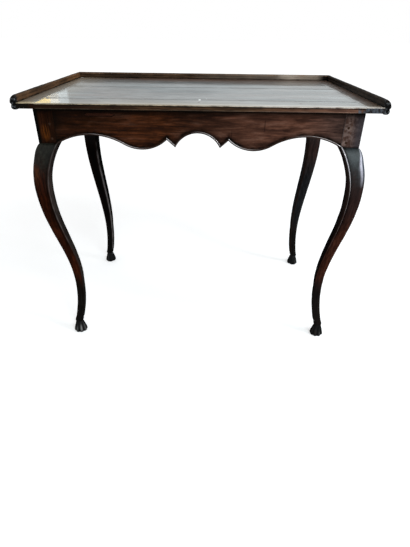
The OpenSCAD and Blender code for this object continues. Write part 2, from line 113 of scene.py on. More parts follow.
def half_section(w, corner, bead, stand, inner, crown, lean=0.0):
    """Outer corner, face, bead and inner corner: place along the face, depth, rubbing and painted highlight,
    dirt and painted shade
    """
    row = []
    for k in range(corner_n):
        a = math.radians(45 * (1 - k / (corner_n - 1)))
        row.append((corner * (1 - math.sin(a)), corner * (1 - math.cos(a)), 0.12 * math.sin(2 * a) + 0.04, 0))
    end = w - 1.35 * bead - 0.3
    for k in range(1, 8):
        t = k / 7
        row.append((mix(corner, end, t), -crown * 4 * t * (1 - t), 0, t ** 5 * min(1, stand)))
    row.append((w - 1.18 * bead - 0.2, 0.45 * min(1, stand), 0, min(1, stand)))
    for a in (8, 35, 65, 95, 125, 152):
        c, s = math.cos(math.radians(a)), math.sin(math.radians(a))
        row.append((w - 0.5 * bead - 0.5 * bead * c - 0.15, 0.2 - (stand + 0.2) * s, s * min(1, stand), 0))
    row.append((w, 0.32 * bead + 0.6, 0.3, 0))
    deep = max(0.3 * w, 0.32 * bead + 2)
    # Painted shade darkens the inner face towards its corner
    row.append((w - lean * deep, deep, 0, 0.1))
    row.append((w - lean * 0.6 * w, 0.6 * w, 0, 0.4))
    brink = w - lean * (w - inner)
    row.append((brink, w - inner, 0, 0.85))
    middle = mix((brink + w - inner) / 2, brink, 0.4)
    row.append((mix(middle, brink, 0.6) + 0.02 * inner, mix(middle, w - inner, 0.6) + 0.02 * inner, 0.1, 0))
    row.append((middle, middle, 0.2, 0))
    return row


def leg_ring(z, in_post=False):
    if in_post:
        share = clamp(1 - (z - post_z) / 6.5)
        row = half_section(post_w, 1.1, bead_w * share + 0.6, bead_out * share, 1.0, 0)
        wears = [0.6] * corner_n + [share] * (half_n - corner_n)
        return [(a, b, wear_and_highlight * part, grime_and_shade) for (a, b, wear_and_highlight, grime_and_shade), part in zip(row, wears)]
    share = clamp((z - ankle_z) / (knee_z - ankle_z))
    w = leg_width(z)
    corner = w * 0.37 * min(1, 0.25 + (post_z - z) / post_w)
    inner = w * 0.2 * mix(0.4, 1, clamp((post_z - z) / post_w))
    crown = 0.5 * clamp((post_z - z) / 40)
    lean = inner_lean * inner_share(z)
    row = half_section(w, corner, bead_w * mix(0.4, 1, share), bead_out * share, inner, crown, lean)
    out = leg_out(z) + 1.3 * hump(z, 47, 5)
    # Painted shade lies under the low swelling above the hoof and along the foot of the post
    dirt_and_shade = 0.6 * hump(z, 40, 3) + 0.2 * hump(z, post_z, 2.5)
    return [(a - out, b - out, wear_and_highlight, grime_and_shade + dirt_and_shade) for a, b, wear_and_highlight, grime_and_shade in row]


def hoof_ring(z):
    s = z / hoof_h
    neck = leg_width(hoof_h) / 2 - leg_out(hoof_h)
    c = mix(neck - sole_shift, neck, s)
    r = mix(sole_r, neck_r, s ** 1.7) - 2.4 * clamp(1 - z / 5) ** 1.7
    row = []
    for k in range(half_n):
        a = 180 * (k / (half_n - 1)) ** 1.15
        cleft = mix(cleft_d, 1, s ** 1.5) * hump(a, 0, 9)
        groove = 2.4 * hump(a, 46, 7) + 2.2 * hump(a, 91, 7) + 1.2 * hump(a, 134, 8)
        groove *= clamp(1.15 - 1.1 * s) ** 0.6
        heel = mix(heel_d, 0.5, s) * hump(a, 180, 12)
        lobe = 0.8 * (1 - s) * (hump(a, 24, 13) + hump(a, 68, 14)) + 0.8 * hump(s, 0.86, 0.1)
        turn = math.radians(225 + a)
        inward = 2.0 * hump(a, 135, 35) - 1.3 * hump(a, 40, 35)
        reach = r - cleft - groove - heel + lobe + inward * (1 - s) - 0.6
        # Rubbed places on the lobes are where the painted grey highlights go; the cleft and grooves are dark
        wear_and_highlight = 0.9 * hump(a, 70, 9) * hump(s, 0.42, 0.25) + 0.5 * hump(a, 24, 9) * hump(s, 0.3, 0.25)
        wear_and_highlight += 0.4 * hump(a, 112, 9) * hump(s, 0.4, 0.3)
        grime_and_shade = clamp(cleft / 4) + clamp(0.6 * groove)
        row.append((c + reach * math.cos(turn), c + reach * math.sin(turn), wear_and_highlight, grime_and_shade))
    return row


def skin(name, rings):
    """Joins equal rings of (x, y, z, rubbing and painted highlight, dirt and painted shade) into one closed
    piece of wood
    """
    n = len(rings[0])
    points = [p for ring in rings for p in ring]
    faces = []
    for j in range(len(rings) - 1):
        for i in range(n):
            a, b = j * n + i, j * n + (i + 1) % n
            faces.append((a, b, b + n, a + n))
    faces.append(tuple(range(n - 1, -1, -1)))
    faces.append(tuple(range(len(points) - n, len(points))))
    return solid(name, points, faces)


def solid(name, points, faces):
    mesh = bpy.data.meshes.new(name)
    mesh.from_pydata([(p[0] / 1000, p[1] / 1000, p[2] / 1000) for p in points], [], faces)
    for layer, k in (("wear_and_highlight", 3), ("grime_and_shade", 4)):
        values = mesh.attributes.new(layer, "FLOAT", "POINT")
        values.data.foreach_set("value", [clamp(p[k]) for p in points])
    mesh.validate()
    face_out(mesh)
    mesh.polygons.foreach_set("use_smooth", [True] * len(mesh.polygons))
    mesh.set_sharp_from_angle(angle=math.radians(38))
    piece = bpy.data.objects.new(name, mesh)
    bpy.context.scene.collection.objects.link(piece)
    return piece


def face_out(mesh):
    """Turns every face outwards, whichever way the piece was mirrored"""
    work = bmesh.new()
    work.from_mesh(mesh)
    bmesh.ops.recalc_face_normals(work, faces=work.faces)
    work.to_mesh(mesh)
    work.free()


def whole_ring(half):
    """A half section and its mirror image across the leg's diagonal"""
    return half + [(b, a, wear_and_highlight, grime_and_shade) for a, b, wear_and_highlight, grime_and_shade in half[-2:0:-1]]


def leg(name, side, end, seed):
    """One leg from the sole up to the top's underside: side -1 is left, end -1 is front"""
    hoof_z = (0, 0.5, 1.2, 2.2, 3.4, 5, 8, 11, 14, 18, 22, 26, 29, 31, 33, 35, 37, hoof_h)
    rows = [(z, hoof_ring(z)) for z in hoof_z]
    # Rings lie closer together above the hoof and under the post
    z = 41.0
    while z < post_z - 4:
        rows.append((z, leg_ring(z)))
        z += 2.5 if z < 60 or z > 596 else 5.5
    rows += [(z, leg_ring(z)) for z in (post_z - 3, post_z - 2, post_z - 1.2, post_z - 0.6, post_z - 0.2)]
    rows += [(post_z + h, leg_ring(post_z + h, True)) for h in (0.15, 0.9, 2, 3.5, 5, 6.5)]
    rows += [(z, leg_ring(z, True)) for z in (630, 645, 660, 675, 690, 704, under_z)]
    rings = []
    for z, half in rows:
        ring = []
        for i, (a, b, wear_and_highlight, grime_and_shade) in enumerate(whole_ring(half)):
            # The inner corner of the back legs, which faces the room, is marked as rubbed so that the bead's
            # tones paint a highlight line on it
            if end > 0 and abs(i - half_n + 1) < 3 and 60 < z < post_z:
                bare = clamp((520 - z) / 60) if side < 0 else 1
                wear_and_highlight, grime_and_shade = bare * (1.0, 0.75, 0.3)[abs(i - half_n + 1)], 0
            x, y = frame_w / 2 - a, frame_d / 2 - b
            d = 0.35 * waver(a, b, z, 28, seed) + 0.15 * waver(a, b, z, 9, seed) if 2 < z < post_z - 2 else 0
            wear_and_highlight *= 0.75 + 0.5 * waver(a, b, z, 16, seed)
            # Painted shade darkens the post just under the top
            grime_and_shade += 0.5 * clamp(1 - (under_z - z) / 6)
            ring.append((side * (x - d), end * (y - d), z, wear_and_highlight, grime_and_shade))
        rings.append(ring)
    return skin(name, rings)


def add(tree, kind, sockets=None, **settings):
    """A node whose sockets take either a value or the output of another node"""
    made = tree.nodes.new(kind)
    for key, value in settings.items():
        setattr(made, key, value)
    for key, value in (sockets or {}).items():
        if isinstance(value, bpy.types.NodeSocket):
            tree.links.new(value, made.inputs[key])
        else:
            made.inputs[key].default_value = value
    return made


def sums(tree, how, a, b=0.0, c=0.0):
    return add(tree, "ShaderNodeMath", {0: a, 1: b, 2: c}, operation=how).outputs[0]


def product(tree, first, *others):
    for other in others:
        first = sums(tree, "MULTIPLY", first, other)
    return first


def blend(tree, share, a, b):
    return add(tree, "ShaderNodeMix", {0: share, 6: a, 7: b}, data_type="RGBA").outputs[2]


def spread(tree, value, low, high, to_low=0.0, to_high=1.0):
    """Runs evenly from to_low to to_high as the value goes from low to high, and stops there"""
    return add(tree, "ShaderNodeMapRange", {0: value, 1: low, 2: high, 3: to_low, 4: to_high}).outputs[0]


def xyz(tree, vector):
    return add(tree, "ShaderNodeSeparateXYZ", {0: vector}).outputs


def place_of(tree):
    return xyz(tree, add(tree, "ShaderNodeTexCoord").outputs["Object"])


def facing_of(tree):
    return xyz(tree, add(tree, "ShaderNodeNewGeometry").outputs["Normal"])


def cloudy(tree, where, stretch, detail=4.0, rough=0.55, bend=0.0):
    """Noise with a number of clouds per metre along each axis"""
    at = add(tree, "ShaderNodeMapping", {"Vector": where, "Scale": stretch}).outputs[0]
    settings = {"Vector": at, "Scale": 1.0, "Detail": detail, "Roughness": rough, "Distortion": bend}
    return add(tree, "ShaderNodeTexNoise", settings).outputs[0]


def sRGB(r, g, b):
    """A colour of 0 to 255 as Blender takes it"""
    def part(v):
        v /= 255
        return v / 12.92 if v <= 0.04045 else ((v + 0.055) / 1.055) ** 2.4
    return (part(r), part(g), part(b), 1.0)


def effect(name, takes, gives):
    """An empty shader group with its input and output sockets"""
    tree = bpy.data.node_groups.new(name, "ShaderNodeTree")
    for label, kind, start in takes:
        made = tree.interface.new_socket(label, in_out="INPUT", socket_type=kind)
        if start is not None:
            made.default_value = start
    for label, kind in gives:
        tree.interface.new_socket(label, in_out="OUTPUT", socket_type=kind)
    return tree, tree.nodes.new("NodeGroupInput").outputs, tree.nodes.new("NodeGroupOutput").inputs


# Walnut figure, with the grain along the vector's x: slow bands, fine lines, flecks, pores and clouds
walnut, given, out = effect(
    "walnut figure",
    [("Along", "NodeSocketVector", None), ("Seed", "NodeSocketFloat", 0.0)],
    [(label, "NodeSocketFloat") for label in ("Band", "Line", "Fleck", "Pore", "Cloud")],
)
start = add(walnut, "ShaderNodeCombineXYZ", {0: given["Seed"], 1: given["Seed"], 2: given["Seed"]}).outputs[0]
spot = add(walnut, "ShaderNodeVectorMath", {0: given["Along"], 1: start}, operation="ADD").outputs[0]
sway = add(walnut, "ShaderNodeTexNoise", {"Vector": spot, "Scale": 5.0, "Detail": 2.0}).outputs["Color"]
sway = add(walnut, "ShaderNodeVectorMath", {0: sway, 1: (0.5, 0.5, 0.5)}, operation="SUBTRACT").outputs[0]
sway = add(walnut, "ShaderNodeVectorMath", {0: sway, "Scale": 0.014}, operation="SCALE").outputs[0]
spot = add(walnut, "ShaderNodeVectorMath", {0: spot, 1: sway}, operation="ADD").outputs[0]
band = cloudy(walnut, spot, (3.0, 42.0, 42.0), 6.0, 0.62, 0.35)
line = cloudy(walnut, spot, (11.0, 330.0, 330.0), 4.0, 0.6)
fleck = cloudy(walnut, spot, (20.0, 230.0, 230.0), 4.0, 0.6, 0.3)
pore = cloudy(walnut, spot, (95.0, 1500.0, 1500.0), 2.0, 0.5)
cloud = cloudy(walnut, spot, (5.0, 11.0, 11.0), 3.0, 0.5, 0.6)
walnut.links.new(spread(walnut, band, 0.32, 0.68), out["Band"])
walnut.links.new(spread(walnut, line, 0.34, 0.66), out["Line"])
walnut.links.new(spread(walnut, fleck, 0.4, 0.62), out["Fleck"])
walnut.links.new(spread(walnut, pore, 0.62, 0.72), out["Pore"])
walnut.links.new(spread(walnut, cloud, 0.34, 0.66), out["Cloud"])

# Age: where hands have rubbed an edge, and where wax and dust have gathered. The darkening also carries
# painted shade in grooves, under overhangs and on inner faces, and the rubbing marks painted highlights on
# hoofs and beads.
age, given, out = effect(
    "rubbed and waxed",
    [
        ("Where", "NodeSocketVector", None),
        ("Wear_and_highlight", "NodeSocketFloat", 0.0),
        ("Grime_and_shade", "NodeSocketFloat", 0.0),
    ],
    [(label, "NodeSocketFloat") for label in ("Rubbed", "Dirty_and_shaded", "Scratch", "Patch")],
)
broken = cloudy(age, given["Where"], (38.0, 38.0, 38.0), 5.0, 0.65)
worn = product(age, given["Wear_and_highlight"], spread(age, broken, 0.36, 0.6, 0.25, 1.15))
grubby_and_shaded = product(age, given["Grime_and_shade"], spread(age, broken, 0.3, 0.6, 1.2, 0.6))
scrape = cloudy(age, given["Where"], (26.0, 210.0, 150.0), 3.0, 0.7, 1.2)
smear = cloudy(age, given["Where"], (9.0, 13.0, 9.0), 4.0, 0.6, 0.8)
age.links.new(sums(age, "MINIMUM", worn, 1.0), out["Rubbed"])
age.links.new(sums(age, "MINIMUM", grubby_and_shaded, 1.0), out["Dirty_and_shaded"])
age.links.new(spread(age, scrape, 0.66, 0.74), out["Scratch"])
age.links.new(spread(age, smear, 0.35, 0.65), out["Patch"])


def layers(tree, turn, seed):
    """Places both effects in a material: the grain runs along x after the turn"""
    where = add(tree, "ShaderNodeTexCoord").outputs["Object"]
    along = add(tree, "ShaderNodeMapping", {"Vector": where, "Rotation": turn}).outputs[0]
    figure = add(tree, "ShaderNodeGroup", node_tree=walnut)
    tree.links.new(along, figure.inputs["Along"])
    figure.inputs["Seed"].default_value = seed
    aged = add(tree, "ShaderNodeGroup", node_tree=age)
    tree.links.new(where, aged.inputs["Where"])
    for layer in ("wear_and_highlight", "grime_and_shade"):
        known = add(tree, "ShaderNodeAttribute", attribute_name=layer).outputs["Fac"]
        tree.links.new(known, aged.inputs[layer.capitalize()])
    return where, figure.outputs, aged.outputs


def new_material(name):
    made = bpy.data.materials.new(name)
    made.use_nodes = True
    tree = made.node_tree
    return made, tree, tree.nodes["Principled BSDF"]


def wood_tones(tree, figure, dark, middle, light):
    """Slow bands from dark to middle, with lighter lines and flecks where the figure is cloudy"""
    tone = blend(tree, figure["Band"], sRGB(*dark), sRGB(*middle))
    lines = product(tree, figure["Line"], spread(tree, figure["Cloud"], 0.2, 1.0, 0.05, 0.6))
    flecks = product(tree, figure["Fleck"], spread(tree, figure["Cloud"], 0.0, 0.8, 0.1, 0.7))
    return blend(tree, sums(tree, "MAXIMUM", lines, flecks), tone, sRGB(*light))


def old_walnut(name, dark, middle, light, rub, grain, seed, wax=0.02, gloss=0.0, local=None, rubbed=0.8):
    """Waxed walnut in three tones of its figure, paler where rubbed, and black where dirty and where shade is
    painted

    local is a function that changes the tone from place to place before dirt and wear go on
    """
    made, tree, surface = new_material(name)
    where, figure, aged = layers(tree, grain, seed)
    tone = wood_tones(tree, figure, dark, middle, light)
    if local:
        tone = local(tree, where, figure, tone)
    tone = blend(tree, product(tree, figure["Pore"], 0.55), tone, sRGB(12, 8, 6))
    tone = blend(tree, product(tree, aged["Rubbed"], rubbed), tone, sRGB(*rub))
    # Black where dirty, and painted shade in grooves, creases and under overhangs
    tone = blend(tree, product(tree, aged["Dirty_and_shaded"], 0.95), tone, sRGB(6, 5, 4))
    tree.links.new(tone, surface.inputs["Base Color"])
    rough = spread(tree, aged["Patch"], 0.0, 1.0, 0.36, 0.6)
    rough = sums(tree, "MULTIPLY_ADD", aged["Rubbed"], -0.12, rough)
    tree.links.new(rough, surface.inputs["Roughness"])
    surface.inputs["Specular IOR Level"].default_value = gloss
    surface.inputs["Coat Weight"].default_value = wax
    surface.inputs["Coat Roughness"].default_value = 0.22
    height = sums(tree, "MULTIPLY_ADD", figure["Line"], 0.35, product(tree, figure["Pore"], -0.5))
    height = sums(tree, "MULTIPLY_ADD", aged["Scratch"], -0.35, height)
    bump = add(tree, "ShaderNodeBump", {"Height": height, "Strength": 0.35, "Distance": 0.0004})
    tree.links.new(bump.outputs[0], surface.inputs["Normal"])
    return made


# Turns for grain that runs up, along x and along y
upright = (0.0, math.pi / 2, 0.0)
lengthwise = (0.0, 0.0, 0.0)
crosswise = (0.0, 0.0, math.pi / 2)


def near(tree, x, z, x0, z0, across, up):
    """1 at a place, fading to 0 at an ellipse round it, in any two directions"""
    u = product(tree, sums(tree, "ADD", x, -x0), 1 / across)
    v = product(tree, sums(tree, "ADD", z, -z0), 1 / up)
    far = sums(tree, "SQRT", sums(tree, "MULTIPLY_ADD", u, u, product(tree, v, v)))
    return spread(tree, far, 1.0, 0.45)


def shaded_ends(tree, x, z, tone):
    """Painted shade under the top, and a dark band along the joint of apron and post, thickest at the left"""
    wide = spread(tree, x, -0.2, 0.2, 0.022, 0.004)
    apart = sums(tree, "ABSOLUTE", sums(tree, "ADD", sums(tree, "ABSOLUTE", x), -apron_half / 1000))
    joint = sums(tree, "SUBTRACT", 1.0, sums(tree, "DIVIDE", apart, wide))
    joint = product(tree, sums(tree, "MAXIMUM", joint, 0.0), spread(tree, x, -0.2, 0.2, 0.75, 0.45))
    dirt_and_shade = sums(tree, "MAXIMUM", joint, spread(tree, z, 0.687, 0.7, 0.0, 0.95))
    return blend(tree, dirt_and_shade, tone, sRGB(10, 9, 7))


def above_foot(tree, z):
    """1 on the square post and 0 on the carved leg below it"""
    return spread(tree, z, (post_z - 3) / 1000, (post_z + 5) / 1000)


# Pegs in a post: in from its inner side, up from its foot, and from the lower to the upper
peg_set, peg_low, peg_rise = 12, 13, 36
peg_heights = [post_z + peg_low, post_z + peg_low + peg_rise]


def post_tones(tree, figure, mottle, x, z, front):
    """Brown with an amber stain at the left, and grey with rings round the pegs at the right"""
    brown = wood_tones(tree, figure, (14, 7, 4), (40, 20, 11), (80, 42, 24))
    brown = blend(tree, product(tree, spread(tree, x, -0.396, -0.404), front), brown, sRGB(8, 8, 7))
    amber = near(tree, x, z, -0.388, 0.645, 0.014, 0.024)
    amber = product(tree, amber, spread(tree, figure["Fleck"], 0.05, 0.6, 0.05, 0.7))
    brown = blend(tree, amber, brown, sRGB(92, 48, 15))
    grey = wood_tones(tree, figure, (48, 34, 30), (70, 50, 43), (104, 78, 68))
    grey = blend(tree, spread(tree, mottle, 0.42, 0.62, 0.0, 0.8), grey, sRGB(108, 90, 84))
    for peg_z in peg_heights:
        ring = near(tree, x, z, (apron_half + peg_set) / 1000, peg_z / 1000, 0.010, 0.010)
        ring = product(tree, ring, spread(tree, mottle, 0.4, 0.6, 0.0, 0.4))
        grey = blend(tree, ring, grey, sRGB(132, 112, 104))
    grey = blend(tree, spread(tree, x, 0.38, 0.4, 0.0, 0.8), grey, sRGB(46, 45, 50))
    post = blend(tree, product(tree, spread(tree, x, 0.3, 0.36), front), brown, grey)
    return shaded_ends(tree, x, z, post)


def unshaded_share(tree, x, y, z, nx):
    """How much colour shows against the painted shade: little on inner sides, ankles, back legs and close
    under a post
    """
    inner = product(tree, nx, sums(tree, "SIGN", x))
    unshaded = product(
        tree,
        spread(tree, inner, -0.3, -0.8, 1.0, 0.25),
        spread(tree, y, -0.1, 0.1, 1.0, 0.3),
        spread(tree, z, 0.08, 0.2, 0.35, 1.0),
        spread(tree, z, 0.56, 0.6, 1.0, 0.4),
        spread(tree, nx, -0.3, -0.8, 1.0, 0.25),
        spread(tree, sums(tree, "SUBTRACT", y, x), 0.45, 0.55, 1.0, 0.3),
    )
    return sums(tree, "MAXIMUM", unshaded, above_foot(tree, z))


def knee_sheen_tones(tree, figure, mottle, x, y, z, front, tone):
    """A painted grey sheen, standing for the windows' reflection, lies on the upper front of the knees, bluer
    at the right
    """
    right = spread(tree, x, -0.1, 0.1)
    height = sums(tree, "MULTIPLY_ADD", mottle, 0.04, sums(tree, "ADD", z, -0.02))
    height = sums(tree, "MULTIPLY_ADD", right, 0.012, height)
    # Painted sheen on the upper front of the knees
    upper = product(tree, spread(tree, height, 0.535, 0.598), spread(tree, z, 0.619, 0.617), front, 0.85)
    olive = blend(tree, spread(tree, mottle, 0.38, 0.6), sRGB(17, 18, 14), sRGB(36, 37, 31))
    blue_sheen = blend(tree, spread(tree, mottle, 0.38, 0.62), sRGB(22, 30, 33), sRGB(41, 50, 52))
    tone = blend(tree, upper, tone, blend(tree, right, olive, blue_sheen))
    # A rubbed place at the outside of the front left knee shows orange wood
    orange = near(tree, x, z, -0.43, 0.545, 0.02, 0.035)
    orange = product(tree, orange, spread(tree, figure["Fleck"], 0.0, 0.7, 0.1, 0.8))
    return blend(tree, product(tree, orange, spread(tree, y, 0.1, -0.1)), tone, sRGB(74, 38, 18))


def knee_corner_highlight(tree, mottle, x, z, nx, ny, tone):
    """A painted pale highlight on the rounded outer corner of the front right knee, with a painted grey-blue
    rim outside it
    """
    corner = product(tree, spread(tree, x, 0.3, 0.36), spread(tree, ny, 0.1, -0.1))
    corner = product(tree, spread(tree, z, 0.52, 0.575), corner)
    grey_rim = product(tree, corner, spread(tree, nx, 0.42, 0.6), spread(tree, nx, 0.99, 0.9))
    tone = blend(tree, grey_rim, tone, sRGB(62, 66, 74))
    # Painted highlight
    pale = product(
        tree,
        spread(tree, nx, 0.06, 0.24),
        spread(tree, nx, 0.6, 0.42),
        product(tree, corner, spread(tree, z, 0.618, 0.592, 0.3, 1.0)),
        spread(tree, mottle, 0.34, 0.6, 0.72, 1.0),
    )
    return blend(tree, pale, tone, sRGB(192, 190, 202))


def hoof_tones(tree, figure, x, y, z, tone):
    """Black ankles and hoofs, with painted grey highlights on the ridges of the hoofs, strongest on the front
    legs
    """
    ankle = blend(tree, figure["Line"], sRGB(8, 8, 8), sRGB(26, 24, 22))
    tone = blend(tree, spread(tree, z, 0.225, 0.155, 0.0, 0.85), tone, ankle)
    # Painted grey highlights go on the rubbed ridges, mostly on the front hoofs
    worn = product(
        tree,
        add(tree, "ShaderNodeAttribute", attribute_name="wear_and_highlight").outputs["Fac"],
        spread(tree, sums(tree, "MULTIPLY_ADD", x, -0.5, y), 0.1, -0.02, 0.25, 1.0),
        spread(tree, x, 0.1, 0.3, 1.1, 0.1),
    )
    hoof = blend(tree, figure["Line"], sRGB(7, 7, 7), sRGB(22, 22, 22))
    hoof = blend(tree, worn, hoof, sRGB(150, 150, 148))
    return blend(tree, spread(tree, z, 0.045, 0.036), tone, hoof)


def leg_tones(tree, where, figure, tone):
    """Browner posts, greyer at the right; painted shade on back legs, ankles and inner sides; dark hoofs;
    painted light between knee and ankle and a painted sheen on the knees
    """
    x, y, z = xyz(tree, where)
    nx, ny, nz = facing_of(tree)
    front = spread(tree, ny, -0.2, -0.6)
    below = spread(tree, z, post_z / 1000, (post_z - 5) / 1000)
    mottle = cloudy(tree, where, (90.0, 90.0, 90.0), 3.0, 0.6, 0.6)
    post = post_tones(tree, figure, mottle, x, z, front)
    tone = blend(tree, above_foot(tree, z), tone, post)
    # Between knee and ankle the faces are painted brighter and ruddier, as light from the floor would show
    # them
    lower = product(tree, spread(tree, z, 0.46, 0.38), spread(tree, z, 0.17, 0.22))
    left_floor_lit = wood_tones(tree, figure, (15, 7, 4), (42, 18, 10), (108, 50, 27))
    right_floor_lit = wood_tones(tree, figure, (24, 11, 7), (46, 22, 15), (104, 58, 42))
    floor_lit = blend(tree, spread(tree, x, -0.1, 0.1), left_floor_lit, right_floor_lit)
    tone = blend(tree, product(tree, lower, spread(tree, y, 0.1, -0.1)), tone, floor_lit)
    # Painted shade: the tone goes to near black where little colour shows
    tone = blend(tree, unshaded_share(tree, x, y, z, nx), sRGB(5, 5, 5), tone)
    # The lower part of the back right leg is greyer, and the right legs are less orange
    greyer = product(tree, spread(tree, x, 0.1, 0.2), spread(tree, z, 0.49, 0.43, 0.0, 0.9))
    greyer = product(tree, spread(tree, y, 0.1, 0.14), greyer)
    tone = blend(tree, greyer, tone, wood_tones(tree, figure, (10, 10, 11), (29, 31, 33), (50, 54, 57)))
    cooler = product(tree, spread(tree, x, 0.1, 0.3, 0.0, 0.72), below)
    cooler = product(tree, cooler, spread(tree, lower, 0.0, 1.0, 1.0, 0.12))
    tone = blend(tree, cooler, tone, wood_tones(tree, figure, (20, 14, 14), (38, 27, 26), (66, 48, 44)))
    tone = knee_sheen_tones(tree, figure, mottle, x, y, z, front, tone)
    # The inner side of the front left leg is greyer too
    side = product(tree, spread(tree, nx, 0.5, 0.9), spread(tree, y, -0.1, -0.14))
    side = product(tree, side, spread(tree, x, -0.28, -0.3), below)
    tone = blend(tree, side, tone, wood_tones(tree, figure, (18, 14, 13), (42, 35, 32), (66, 56, 52)))
    tone = knee_corner_highlight(tree, mottle, x, z, nx, ny, tone)
    return bead_highlight_and_shade(tree, hoof_tones(tree, figure, x, y, z, tone))


def turned_to_window(tree):
    """1 on sides that face up to the right, 0 on the others"""
    nx, ny, nz = facing_of(tree)
    return spread(tree, sums(tree, "MULTIPLY_ADD", nz, 0.5, nx), 0.15, 0.5)


def bead_share(tree):
    """1 on the bead, which carries the most wear, and 0 on the faces beside it"""
    return spread(tree, add(tree, "ShaderNodeAttribute", attribute_name="wear_and_highlight").outputs["Fac"], 0.2, 0.75)


def bead_highlight_and_shade(tree, tone):
    """The bead gets a painted pale highlight on the side turned to the window and painted shade on the other
    """
    bead, lit = bead_share(tree), turned_to_window(tree)
    x, y, z = place_of(tree)
    # Painted shade on the bead's side away from the window
    dark = product(tree, bead, spread(tree, lit, 0.0, 1.0, 0.9, 0.0))
    tone = blend(tree, dark, tone, sRGB(14, 11, 10))
    # Painted highlight, weaker at the left and low on the legs
    rubbed = product(tree, spread(tree, x, -0.36, -0.22, 0.08, 0.95), spread(tree, z, 0.49, 0.58, 0.25, 1.0))
    rubbed = sums(tree, "MAXIMUM", rubbed, spread(tree, z, 0.58, 0.4, 0.05, 0.15))
    return blend(tree, product(tree, bead, product(tree, lit, rubbed)), tone, sRGB(234, 226, 226))


def bead_polish(surface, tree, rest, rough):
    """Wax lies thickest on the bead; rest is the weight elsewhere"""
    x = place_of(tree)[0]
    bead = product(tree, bead_share(tree), turned_to_window(tree), spread(tree, x, -0.36, -0.2, 0.15, 1.0))
    tree.links.new(sums(tree, "MAXIMUM", bead, rest), surface.inputs["Coat Weight"])
    tree.links.new(spread(tree, bead, 0.0, 0.5, rough, 0.12), surface.inputs["Coat Roughness"])


leg_wood = old_walnut(
    "walnut_legs", (6, 3, 2), (20, 8, 5), (62, 26, 12), (60, 40, 30), upright, 3.1,
    local=leg_tones, rubbed=0.35,
)
# The front of the knees and the hoofs keep more wax, most of all where they face the window
tree = leg_wood.node_tree
x, y, z = place_of(tree)
nx, ny, nz = facing_of(tree)
knee = product(tree, spread(tree, x, -0.1, 0.1, 0.24, 0.42), spread(tree, nx, 0.62, 0.42))
knee = product(tree, spread(tree, z, 0.48, 0.6), spread(tree, z, 0.6185, 0.6165), knee)
waxed = sums(tree, "MAXIMUM", knee, spread(tree, z, 0.05, 0.03, 0.0, 0.14))
waxed = product(tree, waxed, spread(tree, ny, -0.25, -0.5))
bead_polish(tree.nodes["Principled BSDF"], tree, sums(tree, "MAXIMUM", waxed, 0.01), 0.36)
for name, side, end, seed in (
    ("leg_front_left", -1, -1, 1.3),
    ("leg_front_right", 1, -1, 4.7),
    ("leg_back_left", -1, 1, 8.2),
    ("leg_back_right", 1, 1, 12.9),
):
    piece = leg(name + "_wood", side, end, seed)
    piece.data.materials.append(leg_wood)
    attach(piece, "root")
    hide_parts(name)


# Aprons
# Four boards sawn to a scalloped lower edge with a scratched bead along it. Their tenons
# go into the posts. The front and back ones are alike and the side ones are shorter.
apron_t, notch_slope = 22, math.radians(41)
# Middle arch's depth, point's place and depth, lobe's place, depth and radius, long arch's
# radius, and how far the outline lies to the left of the middle
front_shape = (59, 57, 95, 143, 101.5, 95, 170, 3)
side_shape = (66, 36, 90, 88, 96, 56, 90, 0)


def towards(a, b):
    return math.atan2(b[1] - a[1], b[0] - a[0])


def arc(c, r, start, stop, steps):
    angles = [mix(start, stop, i / steps) for i in range(steps + 1)]
    return [(c[0] + r * math.cos(a), c[1] + r * math.sin(a)) for a in angles]


def line_meets_circle(p, angle, c, r):
    d = (math.cos(angle), math.sin(angle))
    q = (p[0] - c[0], p[1] - c[1])
    b = q[0] * d[0] + q[1] * d[1]
    reach = -b - math.sqrt(b * b - q[0] ** 2 - q[1] ** 2 + r * r)
    return (p[0] + d[0] * reach, p[1] + d[1] * reach)


def apron_edge(shape, half, d):
    """Right half of the scalloped edge, raised by d: arch, straight rise to the notch, lobe, long arch"""
    arch_depth, point_x, point_depth, lobe_x, lobe_depth, lobe_r, long_r = shape[:7]
    rise = point_depth - arch_depth
    arch_r = (point_x ** 2 + rise ** 2) / (2 * rise)
    arch_c = (0, -arch_depth - arch_r)
    raised = (point_x - d * math.sin(notch_slope), -point_depth + d * math.cos(notch_slope))
    lobe_c = (lobe_x, lobe_r - lobe_depth)
    notch = line_meets_circle(raised, notch_slope, lobe_c, lobe_r - d)
    tip = line_meets_circle(notch, notch_slope + math.pi, arch_c, arch_r + d)
    both_r = lobe_r + long_r
    gap = math.hypot(half - lobe_c[0], -post_h - lobe_c[1])
    u = ((half - lobe_c[0]) / gap, (-post_h - lobe_c[1]) / gap)
    s = (both_r * both_r - long_r * long_r + gap * gap) / (2 * gap)
    drop = math.sqrt(both_r * both_r - s * s)
    long_c = (lobe_c[0] + s * u[0] + drop * u[1], lobe_c[1] + s * u[1] - drop * u[0])
    turn = towards(lobe_c, long_c)
    stop = math.acos((half - long_c[0]) / (long_r + d))
    edge = arc(arch_c, arch_r + d, math.pi / 2, towards(arch_c, tip), 18)
    edge += [(mix(tip[0], notch[0], t), mix(tip[1], notch[1], t)) for t in (0.02, 0.35, 0.65, 0.98)]
    edge += arc(lobe_c, lobe_r - d, towards(lobe_c, notch) + 2 * math.pi, turn + 2 * math.pi, 30)
    return edge + arc(long_c, long_r + d, turn + math.pi, stop, 34)[1:]


def full_edge(shape, half, d):
    """The front and back outlines were sawn a little to the left of the middle"""
    shift = shape[7]
    left, right = apron_edge(shape, half - shift, d), apron_edge(shape, half + shift, d)
    return [(-x - shift, z) for x, z in left[:0:-1]] + [(x - shift, z) for x, z in right]


